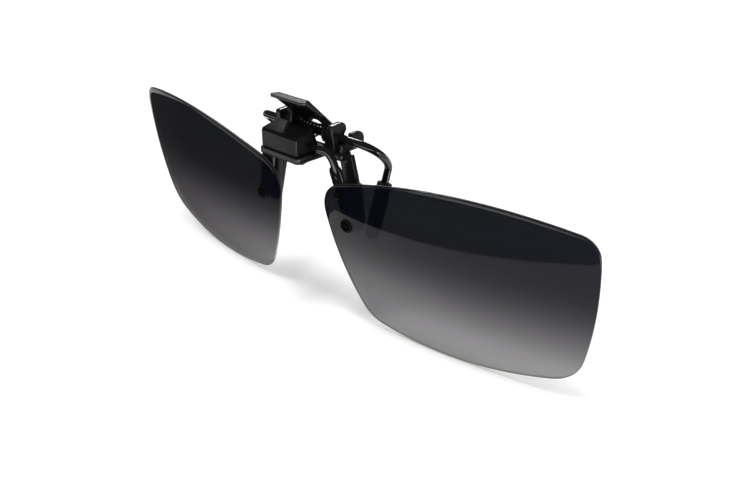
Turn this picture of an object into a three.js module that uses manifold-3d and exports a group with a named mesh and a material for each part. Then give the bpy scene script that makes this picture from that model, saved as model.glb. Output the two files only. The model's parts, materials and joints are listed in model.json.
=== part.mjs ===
// Clip-on flip-up lens pair for spectacles: two tinted lenses hang from a wire yoke, which turns in
// a small housing on a spring clip. The clip has two fixed front arms and a lever with two prongs.
// Millimetres, +Z up. The front faces -Y, and right means +X, as seen from the front.
// The origin is midway between the jaws, on the plane where the front sleeves meet the spectacles.

import * as THREE from 'three';
import { mergeVertices } from 'three/addons/utils/BufferGeometryUtils.js';
import Module from 'manifold-3d';

const wasm = await Module();
wasm.setup();

const degrees = Math.PI / 180;

// Clearances
const seatGap = 0.08;           // between fixed pieces that lie on each other
const runningGap = 0.06;        // around a shaft that turns, on the radius
const sideGap = 0.2;            // between the lever and the bearings beside it
const sleeveGap = 0.08;         // between a rubber sleeve and what it covers

// Lens outline, before its corners are rounded; distances are from the inner top corner
const lensWidth = 60;
const lensTopRise = 3.25;
const lensOuterDrop = 26.35;
const lensOuterInset = 3.95;
const lensInnerDrop = 27.9;
const lensInnerInset = 9.95;
const lensTopBulge = 4.6;
const lensOuterBulge = 1.6;
const lensBottomBulge = 2.8;
const lensInnerBulge = 1.65;
const lensInnerTopRadius = 3.95;
const lensOuterTopRadius = 2.85;
const lensOuterBottomRadius = 5.6;
const lensInnerBottomRadius = 4.2;

// Lens sheet and its place; the pole is the point where the sheet is square to its own frame
const lensThickness = 0.8;
const lensCurveRadius = 180;
const lensPoleDrop = 18;
const lensPoleAcross = 30;
const lensBridgeGap = 12.2;
const lensWrap = 7.25 * degrees;
const lensTilt = 10.25 * degrees;
const lensSetback = 4.7;        // pole behind the flip axle
const lensDrop = 25.6;          // pole below the flip axle

// Lens fixings, from the inner top corner
const screwAcross = 6.85;
const screwDrop = 6.75;
const studAcross = 5.2;
const studDrop = 0.4;
const screwShankDiameter = 1.2;
const screwHeadDiameter = 2.6;
const screwHeadHeight = 0.4;
const screwSlotWidth = 0.4;
const screwSlotDepth = 0.25;
const bushWall = 0.25;
const bushFlangeDiameter = 3.1;
const bushFlangeThickness = 0.15;
const studShankDiameter = 0.9;
const studHeadDiameter = 1.9;
const studHeadHeight = 0.3;

// Yoke
const flipAxleY = -4.95;
const flipAxleZ = 12.6;
const yokeWireDiameter = 1.6;
const yokeShoulder = 1.2;       // straight wire outside the housing before the bend
const yokeUpperBend = 1.2;      // reach of the bend's handle at the housing
const yokeLowerBend = 4.5;      // and at the blade
const yokeLand = 5.0;           // where the wire meets the blade, above the stud
const yokeLap = 1.6;            // length of wire that runs down the blade
const bladeWidth = 3.4;
const bladeThickness = 0.8;
const bladeTopLength = 5.6;     // blade above the stud
const bladeTopWidth = 2.6;
const bladeTaper = 1.2;         // length over which the blade narrows to its top
const bladeEndRadius = 1.65;
const axleFlatLength = 5.2;
const axleFlatDepth = 0.2;

// Housing, measured from the flip axle
const housingWidth = 10.4;
const housingFront = 4.3;
const housingFrontHeight = 2.35;
const housingChamferDepth = 0.35;
const housingChamferHeight = 0.6;
const housingTop = 3.85;
const housingTopRear = 0.5;
const housingRearStep = 1.6;    // height of the point where the rear wall starts to slope
const housingBottomRear = 2.4;
const housingBottom = 1.0;
const housingEdge = 0.25;
const housingWall = 0.75;
const cavityWidth = 6.4;
const cavityRear = 0.5;         // extra room behind the yoke's wire, on top of the running gap

// Detent leaf
const leafThickness = 0.3;
const leafWidth = 5.6;
const leafRise = 1.9;
const leafFall = 0.5;
const leafNose = 0.25;          // gap in front of the yoke's wire, which lets its edges pass

// Bracket plate and wings
const plateThickness = 1.3;
const plateFrontLip = 0.25;
const plateSideLip = 0.6;
const plateRear = 3.3;          // rear edge behind the flip axle
const plateCornerRadius = 0.8;
const wingFront = 2.0;          // front edge of the wings ahead of the jaw axle
const wingRear = 1.0;
const rivetShankDiameter = 1.2;
const rivetHeadDiameter = 2.2;
const rivetHeadHeight = 0.45;
const rivetHeadEdge = 0.3;
const rivetDepth = 2.2;         // length inside the housing
const rivetAcross = 4.25;
const rivetAhead = 2.3;         // ahead of the flip axle

// Jaw axle: cheeks and bearings round it and ears behind it, on each side
const jawAxleY = -0.25;
const jawAxleZ = 14.2;
const wingOuter = 10.35;
const cheekInner = 7.0;
const cheekThickness = 1.35;
const cheekFoot = 1.8;          // front of a cheek ahead of the jaw axle, at the plate
const cheekFront = 2.6;         // and at its head
const cheekFrontHeight = 2.1;
const cheekCrown = 0.35;        // highest point, ahead of the jaw axle
const cheekHeight = 3.2;
const cheekLobe = 1.6;          // rear of the head, behind the jaw axle
const cheekLobeHeight = 1.8;
const cheekWaist = 1.0;         // rear of the cheek under its head
const cheekWaistHeight = 0.6;
const bearingDiameter = 3.4;
const bearingLength = 1.9;
const bearingFoot = 1.25;       // half depth of the block under a bearing
const earInner = 8.8;
const earOuter = 9.8;
const earReach = 5.0;           // rear of an ear behind the jaw axle
const earTop = 0.85;            // top of an ear above the jaw axle
const earTopStart = 1.3;        // front of its top, behind the jaw axle
const earBottom = 2.65;         // lower edge below the jaw axle
const earRound = 1.5;           // reach of its rounded corners
const earFoot = 3.0;            // foot below the jaw axle, in the wing
const earFootRear = 0.9;
const earNeckFront = 1.3;       // front of its neck, ahead of the jaw axle
const earNeckGap = 0.15;        // between the neck and the wire above it

// Front arms and their sleeves
const armWidth = 3.8;
const armThickness = 0.9;
const armTopX = 10.45;
const armTopZ = 11.4;
const armKneeX = 11.9;
const armKneeZ = 6.2;
const armTipX = 12.9;
const armTipZ = -3.2;
const frontSleeveWall = 0.35;
const frontSleeveTip = 0.5;
const frontSleeveStart = 0.05;  // below the knee
const frontSleeveRounding = 1.3;
const frontSleeveEdge = 0.25;
const frontPadHeight = 0.15;    // flat that meets the spectacles, clear of the rear sleeves
const frontPadWidth = 2.8;
const frontPadStart = 0.7;      // below the knee
const frontPadLength = 6.0;

// Cross pin that takes the torsion spring's fixed leg
const anchorBehind = 2.1;       // behind the jaw axle
const anchorBelow = 1.5;
const anchorDiameter = 1.1;
const anchorBossDiameter = 2.2;
const anchorBossLength = 1.2;
const anchorHeadDiameter = 1.8;
const anchorHeadHeight = 0.45;

// Thumb lever
const leverWidth = 10;
const leverThickness = 0.6;
const leverSlope = 46 * degrees;
const leverStandoff = 1.58;     // underside of the web from the jaw axle
const leverWebLength = 8.65;
const leverHeel = 0.3;          // web past the foot of the standoff
const leverLipLength = 2.0;
const leverLipDip = 0.15;
const leverCornerRadius = 0.8;
const leverEarThickness = 0.7;
const leverEarDiameter = 3.4;
const leverEarRun = 5.4;        // how far the ears reach up the web
const leverThroatAhead = 1.5;
const leverThroatAbove = 3.0;
const leverHoleDiameter = 1.3;
const leverHoleAcross = -1.8;
const leverHoleRun = 6.5;

// Rear wire and its sleeves
const rearWireDiameter = 1.6;
const rearWireStraight = 13.0;  // where the axle ends and the bend starts
const rearUpperBend = 5.15;
const rearLowerBend = 1.95;
const prongTopX = 15.66;
const prongTopY = 5.4;
const prongTopZ = 8.0;
const prongTipX = 15.05;
const prongTipY = 1.65;
const prongTipZ = -4.4;
const rearSleeveDiameter = 3.05;
const rearSleeveLength = 12.0;
const rearSleeveTip = 1.6;      // rubber past the end of the wire

// Torsion spring
const coilWireDiameter = 0.45;
const coilMeanRadius = 1.25;
const coilPitch = 1.0;
const coilTurns = 5;
const coilStartX = -3.3;
const coilStepsPerTurn = 8;
const coilSides = 5;
const coilLeverLeg = 4.6;
const coilAnchorLeg = 2.5;

// Facets
const wireSides = 10;
const roundSides = 24;
const edgeSteps = 12;
const cornerSteps = 6;
const lensRings = 4;
const domeSteps = 5;
const bevelSteps = 2;
const yokeSteps = 60;
const rearSteps = 76;

// Cutting and drawing
const overcut = 1;              // how far a cut reaches past the face that it opens
const nearby = 0.01;            // distance over which the direction of an edge is read

// Finishes
const lensFinish = { color: 0x2a2c2f, roughness: 0.06, metalness: 0, transparent: true, opacity: 0.8 };
const glossBlack = { color: 0x141414, roughness: 0.22, metalness: 0.4 };
const satinBlack = { color: 0x232221, roughness: 0.45, metalness: 0.3 };
const rubberBlack = { color: 0x17171a, roughness: 0.7, metalness: 0 };
const darkSteel = { color: 0x3a3a3a, roughness: 0.35, metalness: 0.9 };
const clearBush = { color: 0x8f8f8c, roughness: 0.4, metalness: 0 };

// A geometry with shared points merged and needle triangles dropped, as a closed solid.
function solid(geometry) {
  const bare = geometry.clone();
  bare.deleteAttribute('normal');
  bare.deleteAttribute('uv');
  const merged = mergeVertices(bare, 1e-5);
  const index = Array.from(merged.index.array);
  const triVerts = [];
  for (let i = 0; i < index.length; i += 3) {
    const [a, b, c] = index.slice(i, i + 3);
    if (a !== b && b !== c && c !== a) triVerts.push(a, b, c);
  }
  return new wasm.Manifold(new wasm.Mesh({
    numProp: 3,
    vertProperties: new Float32Array(merged.attributes.position.array),
    triVerts: new Uint32Array(triVerts),
  }));
}

function join(...geometries) {
  return geometries.map(solid).reduce((whole, next) => whole.add(next));
}

function cut(body, ...geometries) {
  return geometries.map(solid).reduce((rest, next) => rest.subtract(next), body);
}

function toGeometry(body) {
  const { vertProperties, triVerts } = body.getMesh();
  const geometry = new THREE.BufferGeometry();
  geometry.setAttribute('position', new THREE.BufferAttribute(new Float32Array(vertProperties), 3));
  geometry.setIndex(Array.from(triVerts));
  geometry.computeVertexNormals();
  return geometry;
}

function mirrored(geometry) {
  const left = (geometry.index ? geometry : mergeVertices(geometry)).clone();
  left.scale(-1, 1, 1);
  const index = left.index.array;
  for (let i = 0; i < index.length; i += 3) [index[i], index[i + 1]] = [index[i + 1], index[i]];
  left.computeVertexNormals();
  return left;
}

function mesh(name, geometry, finish) {
  const made = new THREE.Mesh(geometry, new THREE.MeshStandardMaterial(finish));
  made.name = name;
  return made;
}

// Extrusions along each axis. The shape is drawn in the two other axes, in the order x, y, z.
function alongX(shape, from, to, options = {}) {
  const bevel = options.bevelThickness ?? 0;
  const geometry = new THREE.ExtrudeGeometry(shape, {
    depth: to - from - 2 * bevel,
    bevelEnabled: false,
    curveSegments: cornerSteps,
    ...options,
  });
  geometry.translate(0, 0, from + bevel);
  geometry.applyMatrix4(new THREE.Matrix4().makeBasis(
    new THREE.Vector3(0, 1, 0), new THREE.Vector3(0, 0, 1), new THREE.Vector3(1, 0, 0)));
  return geometry;
}

function alongY(shape, from, to, options = {}) {
  const bevel = options.bevelThickness ?? 0;
  const geometry = new THREE.ExtrudeGeometry(shape, {
    depth: to - from - 2 * bevel,
    bevelEnabled: false,
    curveSegments: cornerSteps,
    ...options,
  });
  geometry.translate(0, 0, -to + bevel);
  geometry.rotateX(Math.PI / 2);
  return geometry;
}

function alongZ(shape, from, to) {
  const geometry = new THREE.ExtrudeGeometry(shape, {
    depth: to - from, bevelEnabled: false, curveSegments: cornerSteps,
  });
  geometry.translate(0, 0, from);
  return geometry;
}

function roundBevel(size) {
  return {
    bevelEnabled: true,
    bevelThickness: size,
    bevelSize: size,
    bevelOffset: -size,
    bevelSegments: bevelSteps,
  };
}

function polygon(points) {
  return new THREE.Shape(points.map(([a, b]) => new THREE.Vector2(a, b)));
}

function disc(radius, sides, [a, b] = [0, 0]) {
  const points = [];
  for (let i = 0; i < sides; i += 1) {
    const turn = (i / sides) * 2 * Math.PI;
    points.push([a + radius * Math.cos(turn), b + radius * Math.sin(turn)]);
  }
  return polygon(points);
}

function rodAlongX(diameter, from, to, [y, z]) {
  return alongX(disc(diameter / 2, roundSides, [y, z]), from, to);
}

// A flat strip of one width along a bent centre line, with mitred bends.
function strip(points, width) {
  const line = points.map(([a, b]) => new THREE.Vector2(a, b));
  const normal = (p, q) => new THREE.Vector2(p.y - q.y, q.x - p.x).normalize();
  const edge = line.map((point, i) => {
    const before = normal(line[Math.max(i - 1, 0)], line[Math.max(i, 1)]);
    const after = normal(line[Math.min(i, line.length - 2)], line[Math.min(i + 1, line.length - 1)]);
    const miter = before.clone().add(after).normalize();
    return miter.multiplyScalar(width / 2 / miter.dot(after));
  });
  const left = line.map((point, i) => point.clone().add(edge[i]));
  const right = line.map((point, i) => point.clone().sub(edge[i]));
  return new THREE.Shape([...right, ...left.reverse()]);
}

// A round wire along a curve.
function wire(curve, diameter, steps, sides = wireSides) {
  return new THREE.ExtrudeGeometry(disc(diameter / 2, sides), { steps, extrudePath: curve });
}

// A turned piece: the profile lists radius and height, and the height runs along a direction.
function turned(profile, place, direction, sides = roundSides) {
  const geometry = new THREE.LatheGeometry(profile.map(([r, h]) => new THREE.Vector2(r, h)), sides);
  const up = new THREE.Vector3(0, 1, 0);
  geometry.applyQuaternion(new THREE.Quaternion().setFromUnitVectors(up, direction));
  geometry.translate(place.x, place.y, place.z);
  return geometry;
}

// The profile of a dome of one height on a disc of one radius, from its rim to its top.
function dome(radius, height, base = 0) {
  const points = [];
  for (let i = 0; i <= domeSteps; i += 1) {
    const turn = (i / domeSteps) * 0.5 * Math.PI;
    points.push([i === domeSteps ? 0 : radius * Math.cos(turn), base + height * Math.sin(turn)]);
  }
  return points;
}

const object = new THREE.Group();

// Lens: a sheet bent to one radius. Across and up are measured from the inner top corner.
const lensX = lensBridgeGap / 2 + lensPoleAcross;
const lensY = flipAxleY + lensSetback;
const lensZ = flipAxleZ - lensDrop;
const lensTurn = new THREE.Euler(lensTilt, 0, lensWrap);
const lensPlace = new THREE.Matrix4().compose(
  new THREE.Vector3(lensX, lensY, lensZ),
  new THREE.Quaternion().setFromEuler(lensTurn),
  new THREE.Vector3(1, 1, 1));

// Point on the lens sheet in the lens's own frame, moved by an offset towards its front.
function onLens(across, up, offset = 0) {
  const u = (across - lensPoleAcross) / lensCurveRadius;
  const v = (up + lensPoleDrop) / lensCurveRadius;
  const point = new THREE.Vector3(Math.sin(u), 1 - Math.cos(u) + (v * v) / 2, v);
  return point.multiplyScalar(lensCurveRadius).addScaledVector(lensFront(across, up), offset);
}

// Direction that the front of the lens faces at a point, in the lens's own frame.
function lensFront(across, up) {
  const u = (across - lensPoleAcross) / lensCurveRadius;
  const v = (up + lensPoleDrop) / lensCurveRadius;
  return new THREE.Vector3(Math.sin(u), -Math.cos(u), v * Math.cos(u)).normalize();
}

// The outline runs clockwise from the inner top corner: bulged edges and rounded corners.
function lensOutline() {
  const outerBottom = [lensWidth - lensOuterInset, -lensOuterDrop];
  const innerBottom = [lensInnerInset, -lensInnerDrop];
  const corners = [
    { at: [0, 0], bulge: lensTopBulge, radius: lensInnerTopRadius },
    { at: [lensWidth, lensTopRise], bulge: lensOuterBulge, radius: lensOuterTopRadius },
    { at: outerBottom, bulge: lensBottomBulge, radius: lensOuterBottomRadius },
    { at: innerBottom, bulge: lensInnerBulge, radius: lensInnerBottomRadius },
  ];
  const count = corners.length;
  const point = (i) => new THREE.Vector2(...corners[(i + count) % count].at);
  const direction = (i) => point(i + 1).sub(point(i)).normalize();
  const trim = (i) => {
    const half = direction(i - 1).angleTo(direction(i)) / 2;
    return corners[(i + count) % count].radius * Math.tan(half);
  };
  const onEdge = (i, distance) => {
    const length = point(i).distanceTo(point(i + 1));
    const share = distance / length;
    const out = new THREE.Vector2(-direction(i).y, direction(i).x);
    return point(i).addScaledVector(direction(i), distance)
      .addScaledVector(out, 4 * corners[(i + count) % count].bulge * share * (1 - share));
  };
  const points = [];
  for (let i = 0; i < count; i += 1) {
    const end = point(i).distanceTo(point(i + 1)) - trim(i + 1);
    for (let k = 0; k < edgeSteps; k += 1) {
      points.push(onEdge(i, trim(i) + ((end - trim(i)) * k) / edgeSteps));
    }
    const before = onEdge(i, end);
    const after = onEdge((i + 1) % count, trim(i + 1));
    const leaving = before.clone().sub(onEdge(i, end - nearby)).normalize();
    const arriving = onEdge((i + 1) % count, trim(i + 1) + nearby).sub(after).normalize();
    const turn = leaving.angleTo(arriving);
    const handle = (before.distanceTo(after) / (2 * Math.sin(turn / 2))) * (4 / 3) * Math.tan(turn / 4);
    const corner = new THREE.CubicBezierCurve(
      before,
      before.clone().addScaledVector(leaving, handle),
      after.clone().addScaledVector(arriving, -handle),
      after);
    points.push(...corner.getPoints(cornerSteps).slice(0, -1));
  }
  return points;
}

// Rings of the outline, drawn in towards the pole, on the front and on the rear of the sheet.
function lensSheet() {
  const outline = lensOutline();
  const count = outline.length;
  const places = [];
  const triangles = [];
  for (const offset of [lensThickness / 2, -lensThickness / 2]) {
    places.push(onLens(lensPoleAcross, -lensPoleDrop, offset));
    for (let ring = 1; ring <= lensRings; ring += 1) {
      const share = ring / lensRings;
      for (const { x, y } of outline) {
        const across = lensPoleAcross + (x - lensPoleAcross) * share;
        places.push(onLens(across, -lensPoleDrop + (y + lensPoleDrop) * share, offset));
      }
    }
  }
  const face = 1 + lensRings * count;
  const at = (side, ring, i) => side * face + 1 + (ring - 1) * count + (i % count);
  for (let i = 0; i < count; i += 1) {
    triangles.push(0, at(0, 1, i + 1), at(0, 1, i), face, at(1, 1, i), at(1, 1, i + 1));
    for (let ring = 1; ring < lensRings; ring += 1) {
      const [a, b] = [at(0, ring, i), at(0, ring, i + 1)];
      const [c, d] = [at(0, ring + 1, i), at(0, ring + 1, i + 1)];
      triangles.push(a, b, c, b, d, c);
      triangles.push(a + face, c + face, b + face, b + face, c + face, d + face);
    }
    const [p, q] = [at(0, lensRings, i), at(0, lensRings, i + 1)];
    triangles.push(p, q, p + face, q, q + face, p + face);
  }
  const geometry = new THREE.BufferGeometry().setFromPoints(places);
  geometry.setIndex(triangles);
  return geometry;
}

// Lens fixings, in the lens's own frame. Heights are along the lens's front direction.
const bushBoreDiameter = screwShankDiameter + 2 * runningGap;
const bushDiameter = bushBoreDiameter + 2 * bushWall;
const lensHoleReach = lensThickness / 2 + overcut;
const bladeFront = lensThickness / 2 + seatGap;
const bladeRear = bladeFront + bladeThickness;
const bushTop = lensThickness / 2 + seatGap + bushFlangeThickness;

function turnedOnLens(profile, across, drop) {
  return turned(profile, onLens(across, -drop), lensFront(across, -drop));
}

function throughHole(diameter, across, drop) {
  const radius = diameter / 2;
  return turnedOnLens([
    [0, -lensHoleReach],
    [radius, -lensHoleReach],
    [radius, lensHoleReach],
    [0, lensHoleReach],
  ], across, drop);
}

const lensGeometry = toGeometry(cut(
  solid(lensSheet()),
  throughHole(bushDiameter + 2 * seatGap, screwAcross, screwDrop),
  throughHole(studShankDiameter + 2 * seatGap, studAcross, studDrop)));

const bushGeometry = turnedOnLens([
  [bushBoreDiameter / 2, -lensThickness / 2],
  [bushDiameter / 2, -lensThickness / 2],
  [bushDiameter / 2, lensThickness / 2 + seatGap],
  [bushFlangeDiameter / 2, lensThickness / 2 + seatGap],
  [bushFlangeDiameter / 2, bushTop],
  [bushBoreDiameter / 2, bushTop],
  [bushBoreDiameter / 2, -lensThickness / 2],
], screwAcross, screwDrop);

const screwSeat = bushTop + seatGap;
const screwBlank = turnedOnLens([
  [0, -bladeRear],
  [screwShankDiameter / 2, -bladeRear],
  [screwShankDiameter / 2, screwSeat],
  ...dome(screwHeadDiameter / 2, screwHeadHeight, screwSeat),
], screwAcross, screwDrop);
const slotBox = new THREE.BoxGeometry(screwSlotWidth, 2 * screwSlotDepth, 2 * screwHeadDiameter);
slotBox.applyQuaternion(new THREE.Quaternion().setFromUnitVectors(
  new THREE.Vector3(0, 1, 0), lensFront(screwAcross, -screwDrop)));
const slotPlace = onLens(screwAcross, -screwDrop, screwSeat + screwHeadHeight);
slotBox.translate(slotPlace.x, slotPlace.y, slotPlace.z);
const screwGeometry = toGeometry(cut(solid(screwBlank), slotBox));

const studSeat = lensThickness / 2 + seatGap;
const studGeometry = toGeometry(solid(turnedOnLens([
  [0, -bladeRear],
  [studShankDiameter / 2, -bladeRear],
  [studShankDiameter / 2, studSeat],
  ...dome(studHeadDiameter / 2, studHeadHeight, studSeat),
], studAcross, studDrop)));

for (const [side, sign] of [['right', 1], ['left', -1]]) {
  const handed = (geometry) => (sign > 0 ? geometry : mirrored(geometry));
  const carrier = new THREE.Group();
  carrier.position.set(sign * lensX, lensY, lensZ);
  carrier.rotation.set(lensTilt, 0, sign * lensWrap);
  carrier.add(
    mesh(`${side}_lens`, handed(lensGeometry), lensFinish),
    mesh(`${side}_lens_bush`, handed(bushGeometry), clearBush),
    mesh(`${side}_lens_screw`, handed(screwGeometry), glossBlack),
    mesh(`${side}_lens_stud`, handed(studGeometry), glossBlack));
  object.add(carrier);
}

// Yoke: one wire through the housing, bent down to a flat blade behind each lens.
const bladeMiddle = -(bladeFront + bladeThickness / 2);
const screwOnBlade = onLens(screwAcross, -screwDrop, bladeMiddle).applyMatrix4(lensPlace);
const studOnBlade = onLens(studAcross, -studDrop, bladeMiddle).applyMatrix4(lensPlace);
const bladeDown = screwOnBlade.clone().sub(studOnBlade).normalize();
const bladeBack = lensFront((screwAcross + studAcross) / 2, -(screwDrop + studDrop) / 2)
  .negate().transformDirection(lensPlace);
bladeBack.addScaledVector(bladeDown, -bladeBack.dot(bladeDown)).normalize();
const bladeAcross = new THREE.Vector3().crossVectors(bladeDown, bladeBack);
const bladeFrame = new THREE.Matrix4().makeBasis(bladeAcross, bladeDown, bladeBack);
bladeFrame.setPosition(studOnBlade);
const bladeRun = studOnBlade.distanceTo(screwOnBlade);

function bladeGeometry() {
  const half = bladeWidth / 2;
  const shape = new THREE.Shape();
  shape.moveTo(-bladeTopWidth / 2, -bladeTopLength);
  shape.lineTo(bladeTopWidth / 2, -bladeTopLength);
  shape.lineTo(half, bladeTaper - bladeTopLength);
  shape.lineTo(half, bladeRun);
  shape.absarc(0, bladeRun, bladeEndRadius, 0, Math.PI, false);
  shape.lineTo(-half, bladeRun);
  shape.lineTo(-half, bladeTaper - bladeTopLength);
  const geometry = new THREE.ExtrudeGeometry(shape, {
    depth: bladeThickness, bevelEnabled: false, curveSegments: 2 * cornerSteps,
  });
  geometry.translate(0, 0, -bladeThickness / 2);
  return geometry.applyMatrix4(bladeFrame);
}

function bladeHole(diameter, run) {
  const geometry = alongZ(disc(diameter / 2, roundSides, [0, run]), -bladeThickness, bladeThickness);
  return geometry.applyMatrix4(bladeFrame);
}

const yokeRear = (yokeWireDiameter - bladeThickness) / 2;
const yokeFoot = new THREE.Vector3(0, -yokeLand, yokeRear).applyMatrix4(bladeFrame);
const yokeEnd = new THREE.Vector3(0, yokeLap - yokeLand, yokeRear).applyMatrix4(bladeFrame);
const yokeBendX = housingWidth / 2 + yokeShoulder;
const flip = (x, sign = 1) => new THREE.Vector3(sign * x, flipAxleY, flipAxleZ);
const toSide = (point, sign) => new THREE.Vector3(sign * point.x, point.y, point.z);

function yokeArm(sign) {
  return new THREE.CubicBezierCurve3(
    flip(yokeBendX, sign),
    flip(yokeBendX + yokeUpperBend, sign),
    toSide(yokeFoot.clone().addScaledVector(bladeDown, -yokeLowerBend), sign),
    toSide(yokeFoot, sign));
}

function yokePath() {
  const path = new THREE.CurvePath();
  const left = yokeArm(-1);
  path.add(new THREE.LineCurve3(toSide(yokeEnd, -1), toSide(yokeFoot, -1)));
  path.add(new THREE.CubicBezierCurve3(left.v3, left.v2, left.v1, left.v0));
  path.add(new THREE.LineCurve3(flip(yokeBendX, -1), flip(yokeBendX)));
  path.add(yokeArm(1));
  path.add(new THREE.LineCurve3(yokeFoot, yokeEnd));
  return path;
}

const rightBlade = bladeGeometry();
const rightScrewHole = bladeHole(screwShankDiameter + 2 * runningGap, bladeRun);
const rightStudHole = bladeHole(studShankDiameter + 2 * runningGap, 0);
const flatBox = new THREE.BoxGeometry(axleFlatLength, yokeWireDiameter, 2 * yokeWireDiameter);
const frontFlat = flatBox.clone();
frontFlat.translate(0, flipAxleY - yokeWireDiameter + axleFlatDepth, flipAxleZ);
const lowerFlat = flatBox.clone().rotateX(Math.PI / 2);
lowerFlat.translate(0, flipAxleY, flipAxleZ - yokeWireDiameter + axleFlatDepth);
const yoke = cut(
  join(wire(yokePath(), yokeWireDiameter, yokeSteps), rightBlade, mirrored(rightBlade)),
  rightScrewHole, mirrored(rightScrewHole),
  rightStudHole, mirrored(rightStudHole),
  frontFlat, lowerFlat);
object.add(mesh('lens_yoke', toGeometry(yoke), glossBlack));

// Housing: an open-bottomed block with a slot for the yoke and a cavity for the detent leaf.
const housingBase = flipAxleZ - housingBottom;
const housingFrontY = flipAxleY - housingFront;
const housingProfile = polygon([
  [housingFrontY, housingBase],
  [flipAxleY + housingBottomRear, housingBase],
  [flipAxleY + housingTopRear, flipAxleZ + housingRearStep],
  [flipAxleY + housingTopRear, flipAxleZ + housingTop],
  [housingFrontY + housingChamferDepth, flipAxleZ + housingFrontHeight + housingChamferHeight],
  [housingFrontY, flipAxleZ + housingFrontHeight],
]);
const slotRadius = yokeWireDiameter / 2 + runningGap;
const slotShape = new THREE.Shape();
slotShape.moveTo(flipAxleY + slotRadius, flipAxleZ);
slotShape.absarc(flipAxleY, flipAxleZ, slotRadius, 0, Math.PI, false);
slotShape.lineTo(flipAxleY - slotRadius, housingBase - overcut);
slotShape.lineTo(flipAxleY + slotRadius, housingBase - overcut);
const cavityRearY = flipAxleY + slotRadius + cavityRear;
const cavityShape = polygon([
  [housingFrontY + housingWall, housingBase - overcut],
  [cavityRearY, housingBase - overcut],
  [cavityRearY, flipAxleZ + slotRadius],
  [flipAxleY + housingTopRear - housingWall, flipAxleZ + housingRearStep],
  [flipAxleY + housingTopRear - housingWall, flipAxleZ + housingFrontHeight],
  [housingFrontY + housingWall, flipAxleZ + housingFrontHeight],
]);
const rivetY = flipAxleY - rivetAhead;
const rivetHole = (sign) => alongZ(
  disc(rivetShankDiameter / 2 + seatGap, roundSides, [sign * rivetAcross, rivetY]),
  housingBase - seatGap - plateThickness - overcut, housingBase + rivetDepth + seatGap);
const housing = cut(
  solid(alongX(housingProfile, -housingWidth / 2, housingWidth / 2, roundBevel(housingEdge))),
  alongX(slotShape, -housingWidth, housingWidth),
  alongX(cavityShape, -cavityWidth / 2, cavityWidth / 2),
  rivetHole(1), rivetHole(-1));
object.add(mesh('hinge_housing', toGeometry(housing), satinBlack));

// Detent leaf: a bent strip that stands in the cavity with its nose at the yoke's flat.
const leafBackY = housingFrontY + housingWall + seatGap + leafThickness / 2;
const leafNoseY = flipAxleY - yokeWireDiameter / 2 - leafNose - leafThickness / 2;
const leafShape = strip([
  [leafBackY, flipAxleZ + leafRise],
  [leafBackY + leafThickness, flipAxleZ + leafRise],
  [leafNoseY, flipAxleZ],
  [leafBackY, flipAxleZ - leafFall],
], leafThickness);
object.add(mesh('detent_spring', alongX(leafShape, -leafWidth / 2, leafWidth / 2), darkSteel));

// Bracket: plate, wings, cheeks, bearings, ears and the two front arms, in one piece.
const plateTop = housingBase - seatGap;
const plateBottom = plateTop - plateThickness;
const bearingInner = leverWidth / 2 + sideGap;
const bearingOuter = bearingInner + bearingLength;
const anchorY = jawAxleY + anchorBehind;
const anchorZ = jawAxleZ - anchorBelow;
const armRearY = -(frontSleeveWall + sleeveGap);
const armFrontY = armRearY - armThickness;
const wireBore = rearWireDiameter + 2 * runningGap;

function plateShape() {
  const half = housingWidth / 2 + plateSideLip;
  const front = housingFrontY - plateFrontLip;
  const rear = flipAxleY + plateRear;
  const r = plateCornerRadius;
  const shape = new THREE.Shape();
  shape.moveTo(-half, rear);
  shape.lineTo(-half, front + r);
  shape.absarc(-half + r, front + r, r, Math.PI, 1.5 * Math.PI, false);
  shape.absarc(half - r, front + r, r, 1.5 * Math.PI, 2 * Math.PI, false);
  shape.lineTo(half, rear);
  return shape;
}

// A cheek is an upright plate that the axle passes through: its head is rounded and reaches back in a lobe.
function cheekShape() {
  const at = (behind, above) => [jawAxleY + behind, jawAxleZ + above];
  const shape = new THREE.Shape();
  shape.moveTo(jawAxleY - cheekFoot, plateBottom);
  shape.lineTo(...at(-cheekFront, cheekFrontHeight));
  shape.quadraticCurveTo(...at(-cheekFront, cheekHeight), ...at(-cheekCrown, cheekHeight));
  shape.quadraticCurveTo(...at(cheekLobe, cheekHeight), ...at(cheekLobe, cheekLobeHeight));
  shape.lineTo(...at(cheekWaist, cheekWaistHeight));
  shape.lineTo(jawAxleY + cheekWaist, plateBottom);
  return shape;
}

// An ear lies behind the axle, and its neck runs forward under the wire to the wing.
function bracketEarShape() {
  const at = (behind, above) => [jawAxleY + behind, jawAxleZ + above];
  const neckTop = -rearWireDiameter / 2 - earNeckGap;
  const shape = new THREE.Shape();
  shape.moveTo(...at(-earNeckFront, -earFoot));
  shape.lineTo(...at(earFootRear, -earFoot));
  shape.lineTo(...at(earFootRear + earFoot - earBottom, -earBottom));
  shape.lineTo(...at(earReach - earRound, -earBottom));
  shape.quadraticCurveTo(...at(earReach, -earBottom), ...at(earReach, earRound - earBottom));
  shape.quadraticCurveTo(...at(earReach, earTop), ...at(earReach - 1.5 * earRound, earTop));
  shape.lineTo(...at(earTopStart, earTop / 2));
  shape.lineTo(...at(earTopStart, neckTop));
  shape.lineTo(...at(-earNeckFront, neckTop));
  return shape;
}

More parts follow.
